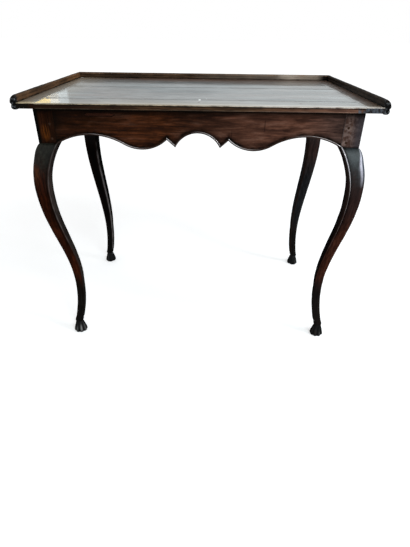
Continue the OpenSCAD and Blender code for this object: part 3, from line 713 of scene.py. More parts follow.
def apron(name, shape, half, place, seed):
    """Section rings side by side from the left post to the right: back, underside, bead and face

    stand, rubbing, and the dirt and painted shade go by the height above the edge; stand runs inwards from
    the face
    """
    stand = {
        0: 0.3, 0.2: -0.5, 0.6: -1.05, 1.4: -1.42, 2.4: -1.5, 3.4: -1.2, 4.2: -0.55,
        4.6: 0.15, 5.0: 0.5, 5.6: 0.3, 7: 0.1, 8.6: 0.0, 11: 0.0,
    }
    edges = {d: full_edge(shape, half, d) for d in stand}
    wear_and_highlight = {0.2: 0.3, 0.6: 0.7, 1.4: 1.0, 2.4: 1.0, 3.4: 1.0, 4.2: 0.5}
    # Dark in the groove above the bead and on the face just above it
    grime_and_shade = {0: 0.6, 4.2: 0.4, 4.6: 1.0, 5.0: 1.0, 5.6: 1.0, 7: 1.0, 8.6: 0.95, 11: 0.45}
    rings = []
    for i, (x, z) in enumerate(edges[0]):
        ring = [
            (x, apron_t, -0.3, 0, 0.5), (x, apron_t, z / 2, 0, 0), (x, apron_t, z + 1.5, 0.2, 0),
            (x, apron_t - 0.5, z + 0.4, 0.3, 0), (x, apron_t - 1.6, z, 0.2, 0),
        ]
        ring += [(x, apron_t * t, z, 0, 0.1) for t in (0.7, 0.4, 0.1)]
        for d in edges:
            ex, ez = edges[d][i]
            ring.append((ex, stand[d], ez, wear_and_highlight.get(d, 0), grime_and_shade.get(d, 0)))
        fx, fz = edges[11][i]
        # Painted shade darkens the top of the face under the top's overhang
        for k in range(1, 9):
            h = mix(fz, -0.3, k / 8)
            hollow = 0.25 * waver(fx, 0, h, 45, seed) + 0.08 * waver(fx, 0, h, 12, seed)
            ring.append((fx, hollow, h, 0.0, 0.75 * clamp(1 + h / 9)))
        rings.append([place(px, py, pz) + (w, g) for px, py, pz, w, g in ring])
    return skin(name, rings)


def front_place(x, y, z):
    return (x, y - frame_d / 2, z + under_z)


def back_place(x, y, z):
    return (x, frame_d / 2 - y, z + under_z)


def left_place(x, y, z):
    return (y - frame_w / 2, -x, z + under_z)


def right_place(x, y, z):
    return (frame_w / 2 - y, -x, z + under_z)


def front_tones(tree, where, figure, tone):
    """Darkest and reddest at the left end, painted lighter towards the right as if lit from that side, and
    greyer there
    """
    x, y, z = xyz(tree, where)
    # Painted light: the tone lightens towards the right
    lit_from_right = wood_tones(tree, figure, (44, 27, 22), (88, 56, 44), (138, 92, 74))
    tone = blend(tree, spread(tree, x, -0.08, 0.18, 0.0, 0.85), tone, lit_from_right)
    blotch = cloudy(tree, where, (13.0, 75.0, 75.0), 4.0, 0.62, 0.3)
    tone = blend(tree, spread(tree, blotch, 0.5, 0.64, 0.0, 0.66), tone, sRGB(24, 14, 12))
    pale = product(tree, spread(tree, blotch, 0.48, 0.36, 0.0, 0.64), spread(tree, x, -0.1, 0.3, 0.2, 1.0))
    tone = blend(tree, pale, tone, sRGB(118, 84, 70))
    worn_end = wood_tones(tree, figure, (28, 20, 19), (60, 48, 45), (128, 98, 88))
    tone = blend(tree, spread(tree, x, 0.26, 0.35, 0.0, 0.8), tone, worn_end)
    # Two short cracks, and dirt at both points of the edge
    crack = near(tree, x, z, 0.165, 0.668, 0.0016, 0.02)
    crack = sums(tree, "MAXIMUM", crack, near(tree, x, z, 0.083, 0.648, 0.0012, 0.013))
    tone = blend(tree, product(tree, crack, 0.6), tone, sRGB(20, 12, 11))
    from_middle = sums(tree, "ABSOLUTE", sums(tree, "ADD", x, 0.003))
    tips = near(tree, from_middle, z, 0.057, 0.612, 0.026, 0.026)
    tone = blend(tree, product(tree, tips, 0.8), tone, sRGB(14, 10, 9))
    return bead_highlight_and_shade(tree, shaded_ends(tree, x, z, tone))


def side_tones(tree, where, figure, tone):
    """Even walnut, with a painted highlight and painted shade only on the bead"""
    return bead_highlight_and_shade(tree, tone)


front_wood = old_walnut(
    "walnut_front_aprons", (12, 6, 3), (40, 21, 11), (94, 50, 28), (60, 46, 40), lengthwise, 0.4,
    local=front_tones,
)
side_wood = old_walnut(
    "walnut_side_aprons", (26, 14, 9), (54, 29, 18), (98, 58, 40), (60, 46, 40), crosswise, 6.2,
    local=side_tones,
)
for wood in (front_wood, side_wood):
    bead_polish(wood.node_tree.nodes["Principled BSDF"], wood.node_tree, 0.02, 0.22)
for name, shape, half, place, wood, seed in (
    ("front_apron", front_shape, apron_half, front_place, front_wood, 2.0),
    ("back_apron", front_shape, apron_half, back_place, front_wood, 5.0),
    ("left_apron", side_shape, side_apron_half, left_place, side_wood, 7.5),
    ("right_apron", side_shape, side_apron_half, right_place, side_wood, 9.0),
):
    piece = apron(name + "_wood", shape, half, place, seed)
    piece.data.materials.append(wood)
    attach(piece, "root")
    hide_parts(name)


# Repair in the front apron
# A long lozenge of darker walnut, let in flush over an old hole and held by glue. Its rim
# has gathered wax.
patch_l, patch_h, patch_x, patch_z = 80, 9.5, 246, 17


def lozenge(shrink, depth, wear_and_highlight, grime_and_shade):
    a, b = patch_l / 2 - shrink * 1.6, patch_h / 2 - shrink
    flat = patch_l / 2 - patch_h
    corners = [(-a, 0), (-flat, -b), (flat, -b), (a, 0), (flat, b), (-flat, b)]
    ring = []
    for k in range(6):
        p, q = corners[k], corners[(k + 1) % 6]
        for t in (0.03, 0.25, 0.5, 0.75, 0.97):
            x, z = mix(p[0], q[0], t), mix(p[1], q[1], t)
            y = depth + 0.1 * waver(x, 0, z, 18)
            ring.append(front_place(x - patch_x, y, z - patch_z) + (wear_and_highlight, grime_and_shade))
    return ring


patch = skin("front_apron_patch_wood", [
    lozenge(-0.3, 1.5, 0, 1), lozenge(-0.3, -0.05, 0, 1), lozenge(1.5, -0.1, 0, 1),
    lozenge(1.9, -0.35, 0.1, 0.5), lozenge(2.5, -0.45, 0, 0),
])
patch_wood = old_walnut(
    "walnut_patch", (24, 12, 8), (52, 28, 20), (92, 52, 36), (104, 72, 56), lengthwise, 14.6,
)
patch.data.materials.append(patch_wood)
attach(patch, "root")
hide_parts("front_apron_patch")


# Tenon pegs
# Sixteen split walnut pegs, whittled to an uneven round and driven through the posts into
# the tenons. Their ends stand a little proud and show dark end grain.
peg_r, peg_l, peg_proud = 3.5, 20, 0.45


def peg(points, faces, centre, axis, side_axis, r, length, proud, seed):
    """One whittled peg with a domed end, from its inner end out to its head"""
    rng = random.Random(seed)
    up = axis.cross(side_axis)
    sides = 14
    bulge = [1 - 0.12 * rng.random() * (k % 2) - 0.05 * rng.random() for k in range(sides)]
    base = len(points)
    rows = [(-length, 0.9, 0), (proud - 0.9, 1.0, 0.9), (proud - 0.35, 0.96, 0.3)]
    rows += [(proud - 0.1, 0.8, 0), (proud, 0.45, 0.2)]
    for h, share, grime_and_shade in rows:
        for k in range(sides):
            a = 2 * math.pi * k / sides
            p = centre + axis * h + (side_axis * math.cos(a) + up * math.sin(a)) * (r * share * bulge[k])
            points.append((p.x, p.y, p.z, 0.3 if h > 0 else 0, grime_and_shade))
    for j in range(len(rows) - 1):
        for k in range(sides):
            a, b = base + j * sides + k, base + j * sides + (k + 1) % sides
            faces.append((a, b, b + sides, a + sides))
    faces.append(tuple(base + k for k in range(sides - 1, -1, -1)))
    faces.append(tuple(base + (len(rows) - 1) * sides + k for k in range(sides)))


def peg_set_piece(name, places, axes, r, length, proud, seed):
    """Several pegs as one piece, each with its own axis, which points out of the wood"""
    points, faces = [], []
    for k, (centre, axis) in enumerate(zip(places, axes)):
        side_axis = Vector((0, 0, 1)) if abs(axis.z) < 0.5 else Vector((1, 0, 0))
        peg(points, faces, centre, axis, side_axis, r, length, proud, seed + k)
    return solid(name, points, faces)


peg_wood = old_walnut("walnut_pegs", (18, 12, 9), (34, 22, 16), (60, 40, 30), (84, 60, 46), upright, 21.0)
for name, outwards, seed in (
    ("front_apron_pegs", Vector((0, -1, 0)), 29),
    ("back_apron_pegs", Vector((0, 1, 0)), 31),
    ("left_apron_pegs", Vector((-1, 0, 0)), 49),
    ("right_apron_pegs", Vector((1, 0, 0)), 51),
):
    if outwards.y:
        face, along, reach = outwards * frame_d / 2, Vector((1, 0, 0)), apron_half + peg_set
    else:
        face, along, reach = outwards * frame_w / 2, Vector((0, 1, 0)), side_apron_half + peg_set
    places = [face + along * s * reach + Vector((0, 0, z)) for s in (-1, 1) for z in peg_heights]
    axes = [outwards] * len(places)
    piece = peg_set_piece(name + "_wood", places, axes, peg_r, peg_l, peg_proud, seed)
    piece.data.materials.append(peg_wood)
    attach(piece, "root")
    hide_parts(name)


# Boards of the top
# Three thin walnut boards glued edge to edge, the narrow one in front, with tongues in the
# breadboard ends. Long use has rounded the front arris and polished the surface.
table_w, table_d = 900, 578
lip_t, end_board_w = 13.5, 43
front_y, back_y = -table_d / 2, table_d / 2 - lip_t
board_end_x = table_w / 2 - lip_t
joint_x = board_end_x - end_board_w
# The whole top sits a little to the right of the middle of the frame
top_shift = 3.5


def top_wave(x, y):
    """How far the old boards rise and sink"""
    return 0.28 * waver(x, y * 2.2, 0, 160, 3.3) + 0.07 * waver(x, y * 4, 0, 45, 1.1)


def board_section(low, high, low_r, high_r, steps):
    """Across a board: place, height, wear, grime and whether it is topside, round its arrises"""
    front = low_r > 1
    row = []
    for k in range(4, -1, -1):
        a = math.radians(90 * k / 4)
        rubbed = (0.0, 0.0, 0.3, 1.0, 0.8)[k] if front else 0.0
        grime_and_shade = (1.0, 0.8, 0.3, 0, 0)[k] if front else 1.0
        fall = low_r * (1 - math.cos(a))
        row.append((low + low_r * (1 - math.sin(a)), table_h - fall, rubbed, grime_and_shade, True))
    row += [(mix(low + low_r, high - high_r, k / steps), table_h, 0.0, 0.0, True) for k in range(1, steps)]
    for k in range(5):
        a = math.radians(90 * k / 4)
        fall = high_r * (1 - math.cos(a))
        row.append((high - high_r * (1 - math.sin(a)), table_h - fall, 0.0, 1.0, True))
    row += [(high, under_z + 0.5, 0, 0, False), (high - 0.5, under_z, 0, 0, False)]
    row += [
        (low + 0.9, under_z, 0.0, 0.3, False), (low + 0.25, under_z + 0.3, 0.05, 0.2, False),
        (low, under_z + 1.1, 0.05, 0.1, False),
    ]
    # A shallow hollow runs along the front edge below its arris: depth, fall from the top, grime
    hollow = [
        (0.0, 9.5, 0.0), (0.0, 7.4, 0.0), (0.05, 5.7, 0.25), (0.3, 4.7, 0.8),
        (0.45, 3.7, 1.0), (0.3, 2.7, 1.0), (0.05, 2.0, 0.9),
    ]
    for depth, fall, grime_and_shade in hollow:
        if not front:
            depth, grime_and_shade = 0, 0.3
        row.append((low + depth, table_h - fall, 0, grime_and_shade, False))
    return row


def board(name, along_x, low, high, start, stop, low_r, high_r, steps, lengths, shift):
    """A board with its grain along x or y, whose section runs across it from low to high"""
    # The front end of a breadboard end is rounded like the front board's arris
    lead = [(0, 0.25, 0), (0.25, 0, 0)]
    if not along_x:
        lead = [(0, 1.7, 0), (0.06, 1.3, 0.1), (0.3, 0.74, 0.6), (0.9, 0.2, 0.9), (1.7, 0, 0.2), (2.6, 0, 0)]
    stations = [(start + d, fall, rub) for d, fall, rub in lead]
    stations += [(mix(start, stop, j / lengths), 0, 0) for j in range(1, lengths)]
    stations += [(stop - 0.25, 0, 0), (stop, 0.25, 0)]
    rings = []
    for j, (at, fall, rub) in enumerate(stations):
        end = j in (0, len(stations) - 1)
        ring = []
        for across, z, wear_and_highlight, grime_and_shade, topside in board_section(low, high, low_r, high_r, steps):
            x, y = (at, across) if along_x else (across, at)
            if topside:
                z += top_wave(x, y) - 0.3 + shift - fall
                wear_and_highlight, grime_and_shade = max(wear_and_highlight, rub), grime_and_shade if along_x else grime_and_shade * (1 - rub)
            if low_r > 1 and wear_and_highlight > 0.5:
                dent = 0.2 * max(0, waver(at, 0, 0, 26, 8.8)) ** 2
                y += dent
                z -= dent
            if j == 0:
                wear_and_highlight = 0
            ring.append((x + top_shift, y, z, wear_and_highlight, grime_and_shade + (0.6 if end and along_x else 0)))
        rings.append(ring)
    return skin(name, rings)


def unreflected_field(tree, x, y):
    """1 in the open, 0 close to the gallery and low at the back, where brown reflections of the gallery are
    painted by holding back the bloom
    """
    from_side = product(tree, spread(tree, x, -0.436, -0.4), spread(tree, x, 0.436, 0.385))
    rail_reflection = near(tree, x, y, -0.05, 0.3, 0.3, 0.19)
    from_back = product(tree, spread(tree, y, 0.278, 0.2), spread(tree, rail_reflection, 0.0, 0.8, 1.0, 0.1))
    return product(tree, from_side, from_back)


def teal_patch(tree, figure, x, y, upper):
    """A large patch in the middle where the old polish has turned blue-green"""
    patch = near(tree, x, y, -0.04, 0.05, 0.3, 0.2)
    return product(tree, patch, upper, spread(tree, figure["Band"], 0.1, 0.9, 1.0, 0.45))


def bloomed_face(tree, where, figure, x, upper, unreflected, teal):
    """Brown walnut under a greyish bloom of old polish; the bloom is held back by the gallery and at the
    back, where the brown stands for painted reflections of the gallery
    """
    tone = blend(tree, figure["Band"], sRGB(52, 36, 28), sRGB(84, 62, 50))
    tone = blend(tree, product(tree, figure["Line"], 0.5), tone, sRGB(112, 90, 76))
    bloom = spread(tree, cloudy(tree, where, (3.0, 16.0, 4.0), 5.0, 0.6, 0.5), 0.36, 0.6, 0.35, 1.0)
    bloom = product(tree, bloom, unreflected, upper)
    tone = blend(tree, product(tree, bloom, 0.55), tone, sRGB(98, 110, 112))
    tone = blend(tree, product(tree, teal, 0.6), tone, sRGB(60, 80, 85))
    warm = cloudy(tree, where, (5.0, 15.0, 4.0), 3.0, 0.55, 0.4)
    warm = product(tree, spread(tree, warm, 0.48, 0.66, 0.0, 0.28), upper)
    tone = blend(tree, warm, tone, sRGB(124, 102, 90))
    olive = product(tree, spread(tree, x, -0.31, -0.4), upper)
    olive = product(tree, olive, spread(tree, figure["Line"], 0.0, 0.6, 0.35, 0.8))
    return blend(tree, olive, tone, sRGB(134, 124, 108))


def board_edges(tree, where, figure, x):
    """Nearly black at the left, painted lighter brown towards the right as if lit from that side, and a
    painted blue-grey reflection on the right end
    """
    tone = blend(tree, figure["Fleck"], sRGB(38, 24, 15), sRGB(74, 52, 34))
    # Painted light: lighter towards the right
    lit_from_right = blend(tree, figure["Fleck"], sRGB(82, 56, 46), sRGB(118, 82, 66))
    tone = blend(tree, spread(tree, x, 0.1, 0.36, 0.0, 0.85), tone, lit_from_right)
    tone = blend(tree, spread(tree, x, -0.1, -0.3, 0.0, 0.92), tone, sRGB(26, 10, 4))
    tone = blend(tree, spread(tree, x, -0.398, -0.408, 0.0, 0.9), tone, sRGB(12, 11, 8))
    # A painted blue-grey reflection on the right end
    ticks = cloudy(tree, where, (70.0, 4.0, 30.0), 3.0, 0.6)
    blue_grey = blend(tree, spread(tree, ticks, 0.42, 0.56), sRGB(24, 25, 27), sRGB(78, 84, 92))
    reflected_end = sums(tree, "MULTIPLY_ADD", ticks, 0.12, sums(tree, "ADD", x, -0.06))
    return blend(tree, spread(tree, reflected_end, 0.366, 0.39, 0.0, 0.95), tone, blue_grey)


def rubbed_front(tree, figure, aged, x, y, upper, tone):
    """Hands have rubbed the front arris cream, with a painted highlight along it, and worn the polish thin in
    a band behind it
    """
    cream = blend(tree, spread(tree, x, -0.1, 0.2), sRGB(206, 188, 158), sRGB(232, 222, 210))
    arris_wear_and_highlight = product(tree, aged["Rubbed"], spread(tree, x, -0.436, -0.42, 0.05, 1.0))
    tone = blend(tree, arris_wear_and_highlight, tone, cream)
    thinner = product(tree, spread(tree, y, -0.19, -0.265, 0.0, 0.13), spread(tree, x, -0.36, -0.22))
    thinner = product(tree, thinner, upper, spread(tree, x, 0.0, 0.3, 1.0, 0.35))
    tone = blend(tree, thinner, tone, sRGB(222, 200, 150))
    # A painted warm yellow reflection near the front left corner
    warm_reflection = near(tree, x, y, -0.403, -0.283, 0.045, 0.02)
    tone = blend(tree, product(tree, warm_reflection, upper, 0.5), tone, sRGB(226, 206, 160))
    worn = product(tree, spread(tree, y, -0.264, -0.276), upper, spread(tree, x, -0.36, 0.05, 0.18, 0.48))
    worn = product(tree, worn, spread(tree, figure["Cloud"], 0.0, 0.7, 0.6, 1.0))
    return blend(tree, worn, tone, cream)


def chips_and_glint(tree, x, y):
    """Bare wood in the middle of the front, a smaller chip beside it, and a painted glint in the back left
    corner
    """
    chip = near(tree, x, y, 0.0006, -0.205, 0.0042, 0.012)
    chip = sums(tree, "MAXIMUM", chip, product(tree, near(tree, x, y, 0.0176, -0.185, 0.0026, 0.007), 0.3))
    return sums(tree, "MAXIMUM", chip, product(tree, near(tree, x, y, -0.425, 0.268, 0.008, 0.01), 0.6))


def polish(tree, where, x, y, upper, unreflected, teal):
    """Streaked along the grain, and thinner at the back, at the left and in two worn places"""
    thin = cloudy(tree, where, (3.0, 24.0, 4.0), 5.0, 0.65, 0.6)
    streak = cloudy(tree, where, (5.0, 190.0, 4.0), 4.0, 0.65, 0.4)
    bare = near(tree, x, y, -0.08, 0.24, 0.21, 0.15)
    thin_spot = near(tree, x, y, -0.03, -0.085, 0.14, 0.09)
    coat = product(
        tree,
        spread(tree, thin, 0.36, 0.6, 0.76, 1.06),
        spread(tree, streak, 0.35, 0.62, 0.84, 1.1),
        spread(tree, teal, 0.0, 1.0, 1.0, 0.92),
        spread(tree, y, 0.2, -0.28, 0.8, 1.06),
        spread(tree, bare, 0.0, 1.0, 1.0, 0.4),
        spread(tree, thin_spot, 0.0, 1.0, 1.0, 0.88),
        spread(tree, unreflected, 0.0, 1.0, 0.75, 1.0),
        spread(tree, x, -0.3, 0.35, 0.61, 1.26),
        upper,
    )
    return sums(tree, "MULTIPLY_ADD", coat, 0.565, 0.03)


top_wood, tree, surface = new_material("walnut_top")
where, figure, aged = layers(tree, lengthwise, 17.3)
x, y, z = xyz(tree, where)
upper = spread(tree, facing_of(tree)[2], 0.6, 0.95)
unreflected, teal = unreflected_field(tree, x, y), teal_patch(tree, figure, x, y, upper)
tone = bloomed_face(tree, where, figure, x, upper, unreflected, teal)
tone = blend(tree, upper, board_edges(tree, where, figure, x), tone)
tone = blend(tree, product(tree, figure["Pore"], 0.3), tone, sRGB(50, 38, 32))
tone = rubbed_front(tree, figure, aged, x, y, upper, tone)
dirt_and_shade = product(tree, aged["Dirty_and_shaded"], spread(tree, upper, 0.0, 1.0, 0.9, 0.35))
tone = blend(tree, dirt_and_shade, tone, sRGB(16, 12, 9))
# Pale chips, and a painted glint in the back left corner
tone = blend(tree, product(tree, chips_and_glint(tree, x, y), upper), tone, sRGB(246, 246, 242))
tree.links.new(tone, surface.inputs["Base Color"])
tree.links.new(spread(tree, aged["Patch"], 0.0, 1.0, 0.3, 0.46), surface.inputs["Roughness"])
surface.inputs["Specular IOR Level"].default_value = 0.03
tree.links.new(polish(tree, where, x, y, upper, unreflected, teal), surface.inputs["Coat Weight"])
surface.inputs["Coat Roughness"].default_value = 0.085
height = sums(tree, "MULTIPLY_ADD", figure["Line"], 0.3, product(tree, figure["Pore"], -0.4))
height = sums(tree, "MULTIPLY_ADD", figure["Band"], 0.5, height)
bump = add(tree, "ShaderNodeBump", {"Height": height, "Strength": 0.3, "Distance": 0.0003})
tree.links.new(bump.outputs[0], surface.inputs["Normal"])

front_board_w = 84
wide = (back_y - front_y - front_board_w) / 2
board_joint = front_y + front_board_w
for name, low, high, low_r, steps, shift in (
    ("top_board_front", front_y, board_joint, 1.7, 12, 0.0),
    ("top_board_middle", board_joint, board_joint + wide, 0.2, 26, 0.05),
    ("top_board_back", board_joint + wide, back_y, 0.2, 26, -0.02),
):
    piece = board(name + "_wood", True, low, high, -joint_x, joint_x, low_r, 0.2, steps, 90, shift)
    piece.data.materials.append(top_wood)
    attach(piece, "root")
    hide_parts(name)


# Breadboard ends
# A narrow board across each end of the top, grooved for the tongues and pegged, which
# keeps the thin boards flat. Its own end grain shows at the front.
for name, side in (("breadboard_end_left", -1), ("breadboard_end_right", 1)):
    low, high = sorted((side * joint_x, side * board_end_x))
    piece = board(name + "_wood", False, low, high, front_y, back_y, 0.35, 0.35, 8, 70, 0.08)
    piece.data.materials.append(top_wood)
    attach(piece, "root")
    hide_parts(name)


# Pegs of the top
# Six small pegs lock the tongues and six larger ones hold the top down on the front and
# back aprons. All are cut off flush and polished with the boards.
top_peg_wood = old_walnut(
    "walnut_top_pegs", (66, 48, 38), (88, 66, 54), (110, 86, 70), (120, 100, 84), upright, 25.0,
    wax=0.8, gloss=0.1,
)
tongue_y = [front_y + front_board_w / 2, board_joint + wide / 2, board_joint + 1.5 * wide]
tongue_places = [Vector((s * (joint_x + 6) + top_shift, y, table_h)) for s in (-1, 1) for y in tongue_y]
flush = 0.05
apron_y = frame_d / 2 - apron_t / 2
apron_places = [Vector((x * 250, end * apron_y, table_h)) for end in (-1, 1) for x in (-1, 0, 1)]
for name, places, r, length, seed in (
    ("breadboard_pegs", tongue_places, 3, 12.5, 70),
    ("top_pegs", apron_places, 4, 37, 90),
):
    axes = [Vector((0, 0, 1))] * len(places)
    piece = peg_set_piece(name + "_wood", places, axes, r, length, flush, seed)
    piece.data.materials.append(top_peg_wood)
    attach(piece, "root")
    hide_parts(name)


# Gallery
# Three moulded strips pinned to the edges of the top and mitred at the back corners. Each
# has an ovolo above the top and a round bead that hides the edge of the boards.
lip_h, lip_end_r, lip_inner_r, lip_ridge, lip_step = 17, 11, 3, 5, 1
lip_bead_r, lip_bead_mid, mitre_clear = 6.25, 9.25, 17


def lip_outline():
    """Out from the inner face, up from the top: place, height, wear, grime"""
    inner_face = (
        (-15.2, 0, 0), (-8.0, 0, 0), (-0.4, 0, 1), (0.6, 0, 1), (2.2, 0, 0.7),
        (3.5, 0, 0), (7.0, 0.1, 0), (9.0, 0, 0.5), (11.0, 0, 0),
    )
    row = [(0.0, height, wear_and_highlight, grime_and_shade) for height, wear_and_highlight, grime_and_shade in inner_face]
    for degrees in (0, 22, 45, 68, 90):
        a = math.radians(degrees)
        round_x, round_z = lip_inner_r * (1 - math.cos(a)), lip_h - lip_inner_r * (1 - math.sin(a))
        row.append((round_x, round_z, 0.9 - degrees / 100, degrees / 120))
    ovolo_w = lip_t - lip_ridge
    ovolo_r = (lip_h ** 2 + ovolo_w ** 2) / (2 * ovolo_w)
    for k in range(11):
        a = mix(math.asin(0.97 * lip_h / ovolo_r), 0.0, k / 10)
        row.append((lip_t - ovolo_r + ovolo_r * math.cos(a), ovolo_r * math.sin(a), 0.0, 0.8))
    flat = lip_t - lip_step
    row += [
        (lip_t - 0.2, -1.0, 0.2, 0.2), (flat + 0.1, -1.5, 0, 0.8), (flat - 0.9, -1.7, 0, 1),
        (flat - 1.4, -2.6, 0, 1), (flat - 1.5, -4.4, 0, 1),
    ]
    for k in range(9):
        a = math.radians(mix(44, -90, k / 8))
        bead_x, bead_z = flat - lip_bead_r * (1 - math.cos(a)), lip_bead_r * math.sin(a) - lip_bead_mid
        row.append((bead_x, bead_z, 0.35, 0.0))
    return row + [(3.0, -15.5, 0.1, 0)]


def lip(name, length, rounded, place, seed):
    """A strip mitred at its far end, and rounded over or mitred at its near one"""
    outline = lip_outline()
    stations = [0, 0.4, 1.2, 2.5, 4, 6, 8.5] if rounded else [0]
    start, stop = lip_end_r if rounded else mitre_clear, length - mitre_clear
    n = int((length - 40) / 6)
    stations += [mix(start, stop, k / n) for k in range(n + 1)] + [length]
    rings = []
    for j, s in enumerate(stations):
        first, last = j == 0, j == len(stations) - 1
        mitred = last or first and not rounded
        ring = []
        for u, v, wear_and_highlight, grime_and_shade in outline:
            at = s
            if mitred:
                at = length - lip_t + u if last else lip_t - u
            swell = 0.22 * waver(s, u, v, 22, seed) + 0.3 * waver(s, 0, v, 70, seed)
            if first or last:
                swell = 0
            rub = wear_and_highlight * (0.55 + 0.9 * waver(s, 0, v, 34, seed))
            out = min(lip_t, max(0, u + (swell if u > 1 else 0)))
            up = v + (swell if v > 1 else 0)
            # The front end is rounded over from the top, and its face is drawn in a little
            if rounded and s < lip_end_r:
                roof = lip_h - lip_end_r + math.sqrt(max(0, lip_end_r ** 2 - (lip_end_r - s) ** 2))
                if up > roof:
                    up, rub = roof + 0.02 * (up - roof), 0.4
                if s < 1:
                    out, up = mix(out, 8, 0.05 * (1 - s)), mix(up, -4, 0.03 * (1 - s))
            up = min(up, lip_h)
            if first and rounded:
                rub = 0
            ring.append(place(out, at, up) + (rub, grime_and_shade + (0.7 if mitred else 0)))
        rings.append(ring)
    return skin(name, rings)


def gallery_tones(tree, where, figure, tone):
    """The right strip is darker, and both front ends are black with painted grey highlights"""
    x, y, z = xyz(tree, where)
    darker = wood_tones(tree, figure, (13, 12, 12), (36, 32, 30), (80, 68, 58))
    tone = blend(tree, spread(tree, x, 0.0, 0.3), tone, darker)
    # Painted grey highlights on the black front ends
    glints = cloudy(tree, where, (160.0, 160.0, 160.0), 3.0, 0.6)
    ends = blend(tree, spread(tree, glints, 0.52, 0.64, 0.0, 0.8), sRGB(9, 9, 10), sRGB(104, 108, 112))
    return blend(tree, spread(tree, y, -0.272, -0.280), tone, ends)


gallery_wood = old_walnut(
    "walnut_gallery", (32, 24, 16), (74, 54, 37), (138, 98, 66), (104, 84, 66), crosswise, 31.0,
    wax=0.12, local=gallery_tones, rubbed=0.4,
)


def back_tones(tree, where, figure, tone):
    """Greyer and paler towards the right end, and black in the right corner"""
    x, y, z = xyz(tree, where)
    pale = wood_tones(tree, figure, (112, 101, 90), (172, 156, 140), (212, 196, 178))
    bleached = product(tree, spread(tree, x, -0.04, 0.3), spread(tree, figure["Cloud"], 0.2, 0.6, 0.5, 1.0))
    tone = blend(tree, bleached, tone, pale)
    return blend(tree, spread(tree, x, 0.40, 0.425), tone, sRGB(16, 15, 14))


back_gallery_wood = old_walnut(
    "walnut_back_gallery", (24, 17, 13), (54, 40, 29), (98, 74, 54), (132, 102, 78), lengthwise, 33.5,
    wax=0.12, local=back_tones,
)


def lip_left(out, along, up):
    return (top_shift - board_end_x - out, front_y + along, table_h + up)


def lip_right(out, along, up):
    return (top_shift + board_end_x + out, front_y + along, table_h + up)


def lip_back(out, along, up):
    return (top_shift + along - table_w / 2, back_y + out, table_h + up)


for name, length, rounded, place, wood, seed in (
    ("gallery_left", table_d, True, lip_left, gallery_wood, 1.7),
    ("gallery_right", table_d, True, lip_right, gallery_wood, 6.6),
    ("gallery_back", table_w, False, lip_back, back_gallery_wood, 11.2),
):
    piece = lip(name + "_wood", length, rounded, place, seed)
    piece.data.materials.append(wood)
    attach(piece, "root")
    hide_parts(name)


# Gallery pins
# Eleven thin iron pins, driven through the lower bead into the edges of the boards and
# set just below its surface.
iron, tree, surface = new_material("iron_pins")
where = add(tree, "ShaderNodeTexCoord").outputs["Object"]
rust = cloudy(tree, where, (900.0, 900.0, 900.0), 3.0, 0.6)
rusty = blend(tree, spread(tree, rust, 0.4, 0.6), sRGB(38, 35, 34), sRGB(74, 48, 34))
tree.links.new(rusty, surface.inputs["Base Color"])
tree.links.new(spread(tree, rust, 0.35, 0.65, 0.35, 0.75), surface.inputs["Roughness"])
surface.inputs["Metallic"].default_value = 0.8
pin_r, pin_l, pin_proud, pin_pitch = 1.0, 22, 0.12, 160
pin_z, pin_out = table_h - lip_bead_mid, lip_t - lip_step - 0.15
pin_places = [
    Vector((top_shift + side * (board_end_x + pin_out), i * pin_pitch, pin_z))
    for side in (-1, 1) for i in (-1, 0, 1)
]
pin_places += [Vector((top_shift + i * pin_pitch, back_y + pin_out, pin_z)) for i in (-2, -1, 0, 1, 2)]


def pin_axis(place):
    if place.y > back_y:
        return Vector((0, 1, 0))
    return Vector((1 if place.x > 0 else -1, 0, 0))


axes = [pin_axis(place) for place in pin_places]
piece = peg_set_piece("gallery_pins_iron", pin_places, axes, pin_r, pin_l, pin_proud, 120)
piece.data.materials.append(iron)
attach(piece, "root")
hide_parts("gallery_pins")


# Floor and light
# A plain pale floor that keeps the table's soft shadow, a white surround, and seven soft
# lamps: daylight, a window pane and two pale walls behind, which show most as reflections
# in the polished top, and two windows and a lamp at the right, which light the front.
scene = bpy.context.scene
floor_mesh = bpy.data.meshes.new("floor")
floor_mesh.from_pydata([(-30, -30, 0), (30, -30, 0), (30, 30, 0), (-30, 30, 0)], [], [(0, 1, 2, 3)])
floor = bpy.data.objects.new("floor", floor_mesh)
scene.collection.objects.link(floor)
pale, tree, surface = new_material("pale_floor")
surface.inputs["Base Color"].default_value = (0.8, 0.8, 0.8, 1)
surface.inputs["Roughness"].default_value = 0.9
surface.inputs["Specular IOR Level"].default_value = 0.0
surface.inputs["Emission Color"].default_value = (1, 1, 1, 1)
seen = add(tree, "ShaderNodeLightPath").outputs
place = add(tree, "ShaderNodeTexCoord").outputs["Object"]
away = add(tree, "ShaderNodeVectorMath", {0: place}, operation="LENGTH").outputs["Value"]
glow = product(tree, seen["Is Camera Ray"], spread(tree, away, 0.8, 3.5, 0.47, 0.64))
tree.links.new(glow, surface.inputs["Emission Strength"])
floor.data.materials.append(pale)

# White to the camera and in reflections, and about half as bright as a light on the wood
world = bpy.data.worlds.new("surround")
scene.world = world
world.use_nodes = True
tree = world.node_tree
back = tree.nodes["Background"]
seen = add(tree, "ShaderNodeLightPath").outputs
plain = sums(tree, "MAXIMUM", seen["Is Glossy Ray"], seen["Is Transmission Ray"])
plain = sums(tree, "MAXIMUM", seen["Is Camera Ray"], plain)
back.inputs[0].default_value = (1, 1, 1, 1)
tree.links.new(spread(tree, plain, 0.0, 1.0, 0.55, 1.0), back.inputs[1])


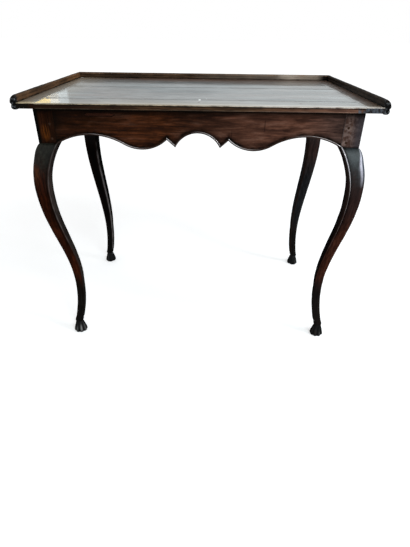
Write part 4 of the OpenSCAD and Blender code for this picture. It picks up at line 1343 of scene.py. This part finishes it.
def soft_lamp(name, place, target, width, height, power, colour):
    lamp = bpy.data.lights.new(name, "AREA")
    lamp.shape = "RECTANGLE"
    lamp.size, lamp.size_y = width, height
    lamp.energy = power
    lamp.color = colour
    holder = bpy.data.objects.new(name, lamp)
    holder.location = place
    holder.rotation_mode = "QUATERNION"
    holder.rotation_quaternion = (Vector(target) - Vector(place)).to_track_quat("-Z", "Y")
    holder.visible_camera = False
    scene.collection.objects.link(holder)


soft_lamp("blue_daylight", (0, 3.4, 1.4), (0, 0, 1.4), 7.0, 2.2, 5.2, (0.08, 0.8, 1.0))
soft_lamp("window_pane", (-1.488, 3.2, 1.2), (-1.488, 0, 1.2), 0.1, 0.34, 0.145, (0.8, 0.94, 1.0))
soft_lamp("warm_wall", (-2.0, 3.2, 1.25), (-2.0, 0, 1.25), 0.74, 0.07, 1.16, (1.0, 0.70, 0.13))
soft_lamp("pale_wall", (-1.585, 3.2, 1.25), (-1.585, 0, 1.25), 0.09, 0.08, 0.1, (1.0, 0.94, 0.8))
soft_lamp("window_right", (1.33, -2.6, 2.1), (0.38, -0.25, 0.58), 1.0, 1.5, 42, (0.82, 0.96, 1.0))
soft_lamp("lamp_right", (2.4, -1.1, 2.1), (0.1, -0.2, 0.6), 0.45, 0.45, 24, (0.96, 0.97, 1.0))
soft_lamp("window_side", (3.2, -0.9, 1.4), (0.4, -0.25, 0.6), 0.9, 1.2, 28, (0.86, 0.92, 1.0))


# Camera
# It stands in front of the open edge, a little right of the middle, and looks down at the
# top. Its angles, place and focal length are those that fit the lines of the photo.
view_pitch, view_yaw, view_roll = 0.545481810, -0.00698847661, 0.0128449562
focal_px, photo_h, sensor = 407.582022, 547, 36
eye_x, eye_y, eye_z = 0.0276929, -1.3156417, 0.8797240
cp, sp = math.cos(view_pitch), math.sin(view_pitch)
cq, sq = math.cos(view_yaw), math.sin(view_yaw)
cr, sr = math.cos(view_roll), math.sin(view_roll)
turned = (
    Matrix(((cr, -sr, 0), (sr, cr, 0), (0, 0, 1)))
    @ Matrix(((1, 0, 0), (0, 0, -1), (0, 1, 0)))
    @ Matrix(((1, 0, 0), (0, cp, -sp), (0, sp, cp)))
    @ Matrix(((cq, -sq, 0), (sq, cq, 0), (0, 0, 1)))
)
look = bpy.data.cameras.new("camera")
look.sensor_width = sensor
look.lens = focal_px / photo_h * sensor
look.clip_start, look.clip_end = 0.05, 100
eye = bpy.data.objects.new("camera", look)
right, down, ahead = turned
eye.matrix_world = Matrix((
    (right[0], -down[0], -ahead[0], eye_x),
    (right[1], -down[1], -ahead[1], eye_y),
    (right[2], -down[2], -ahead[2], eye_z),
    (0, 0, 0, 1),
))
scene.collection.objects.link(eye)
scene.camera = eye
scene.view_settings.view_transform = "Standard"
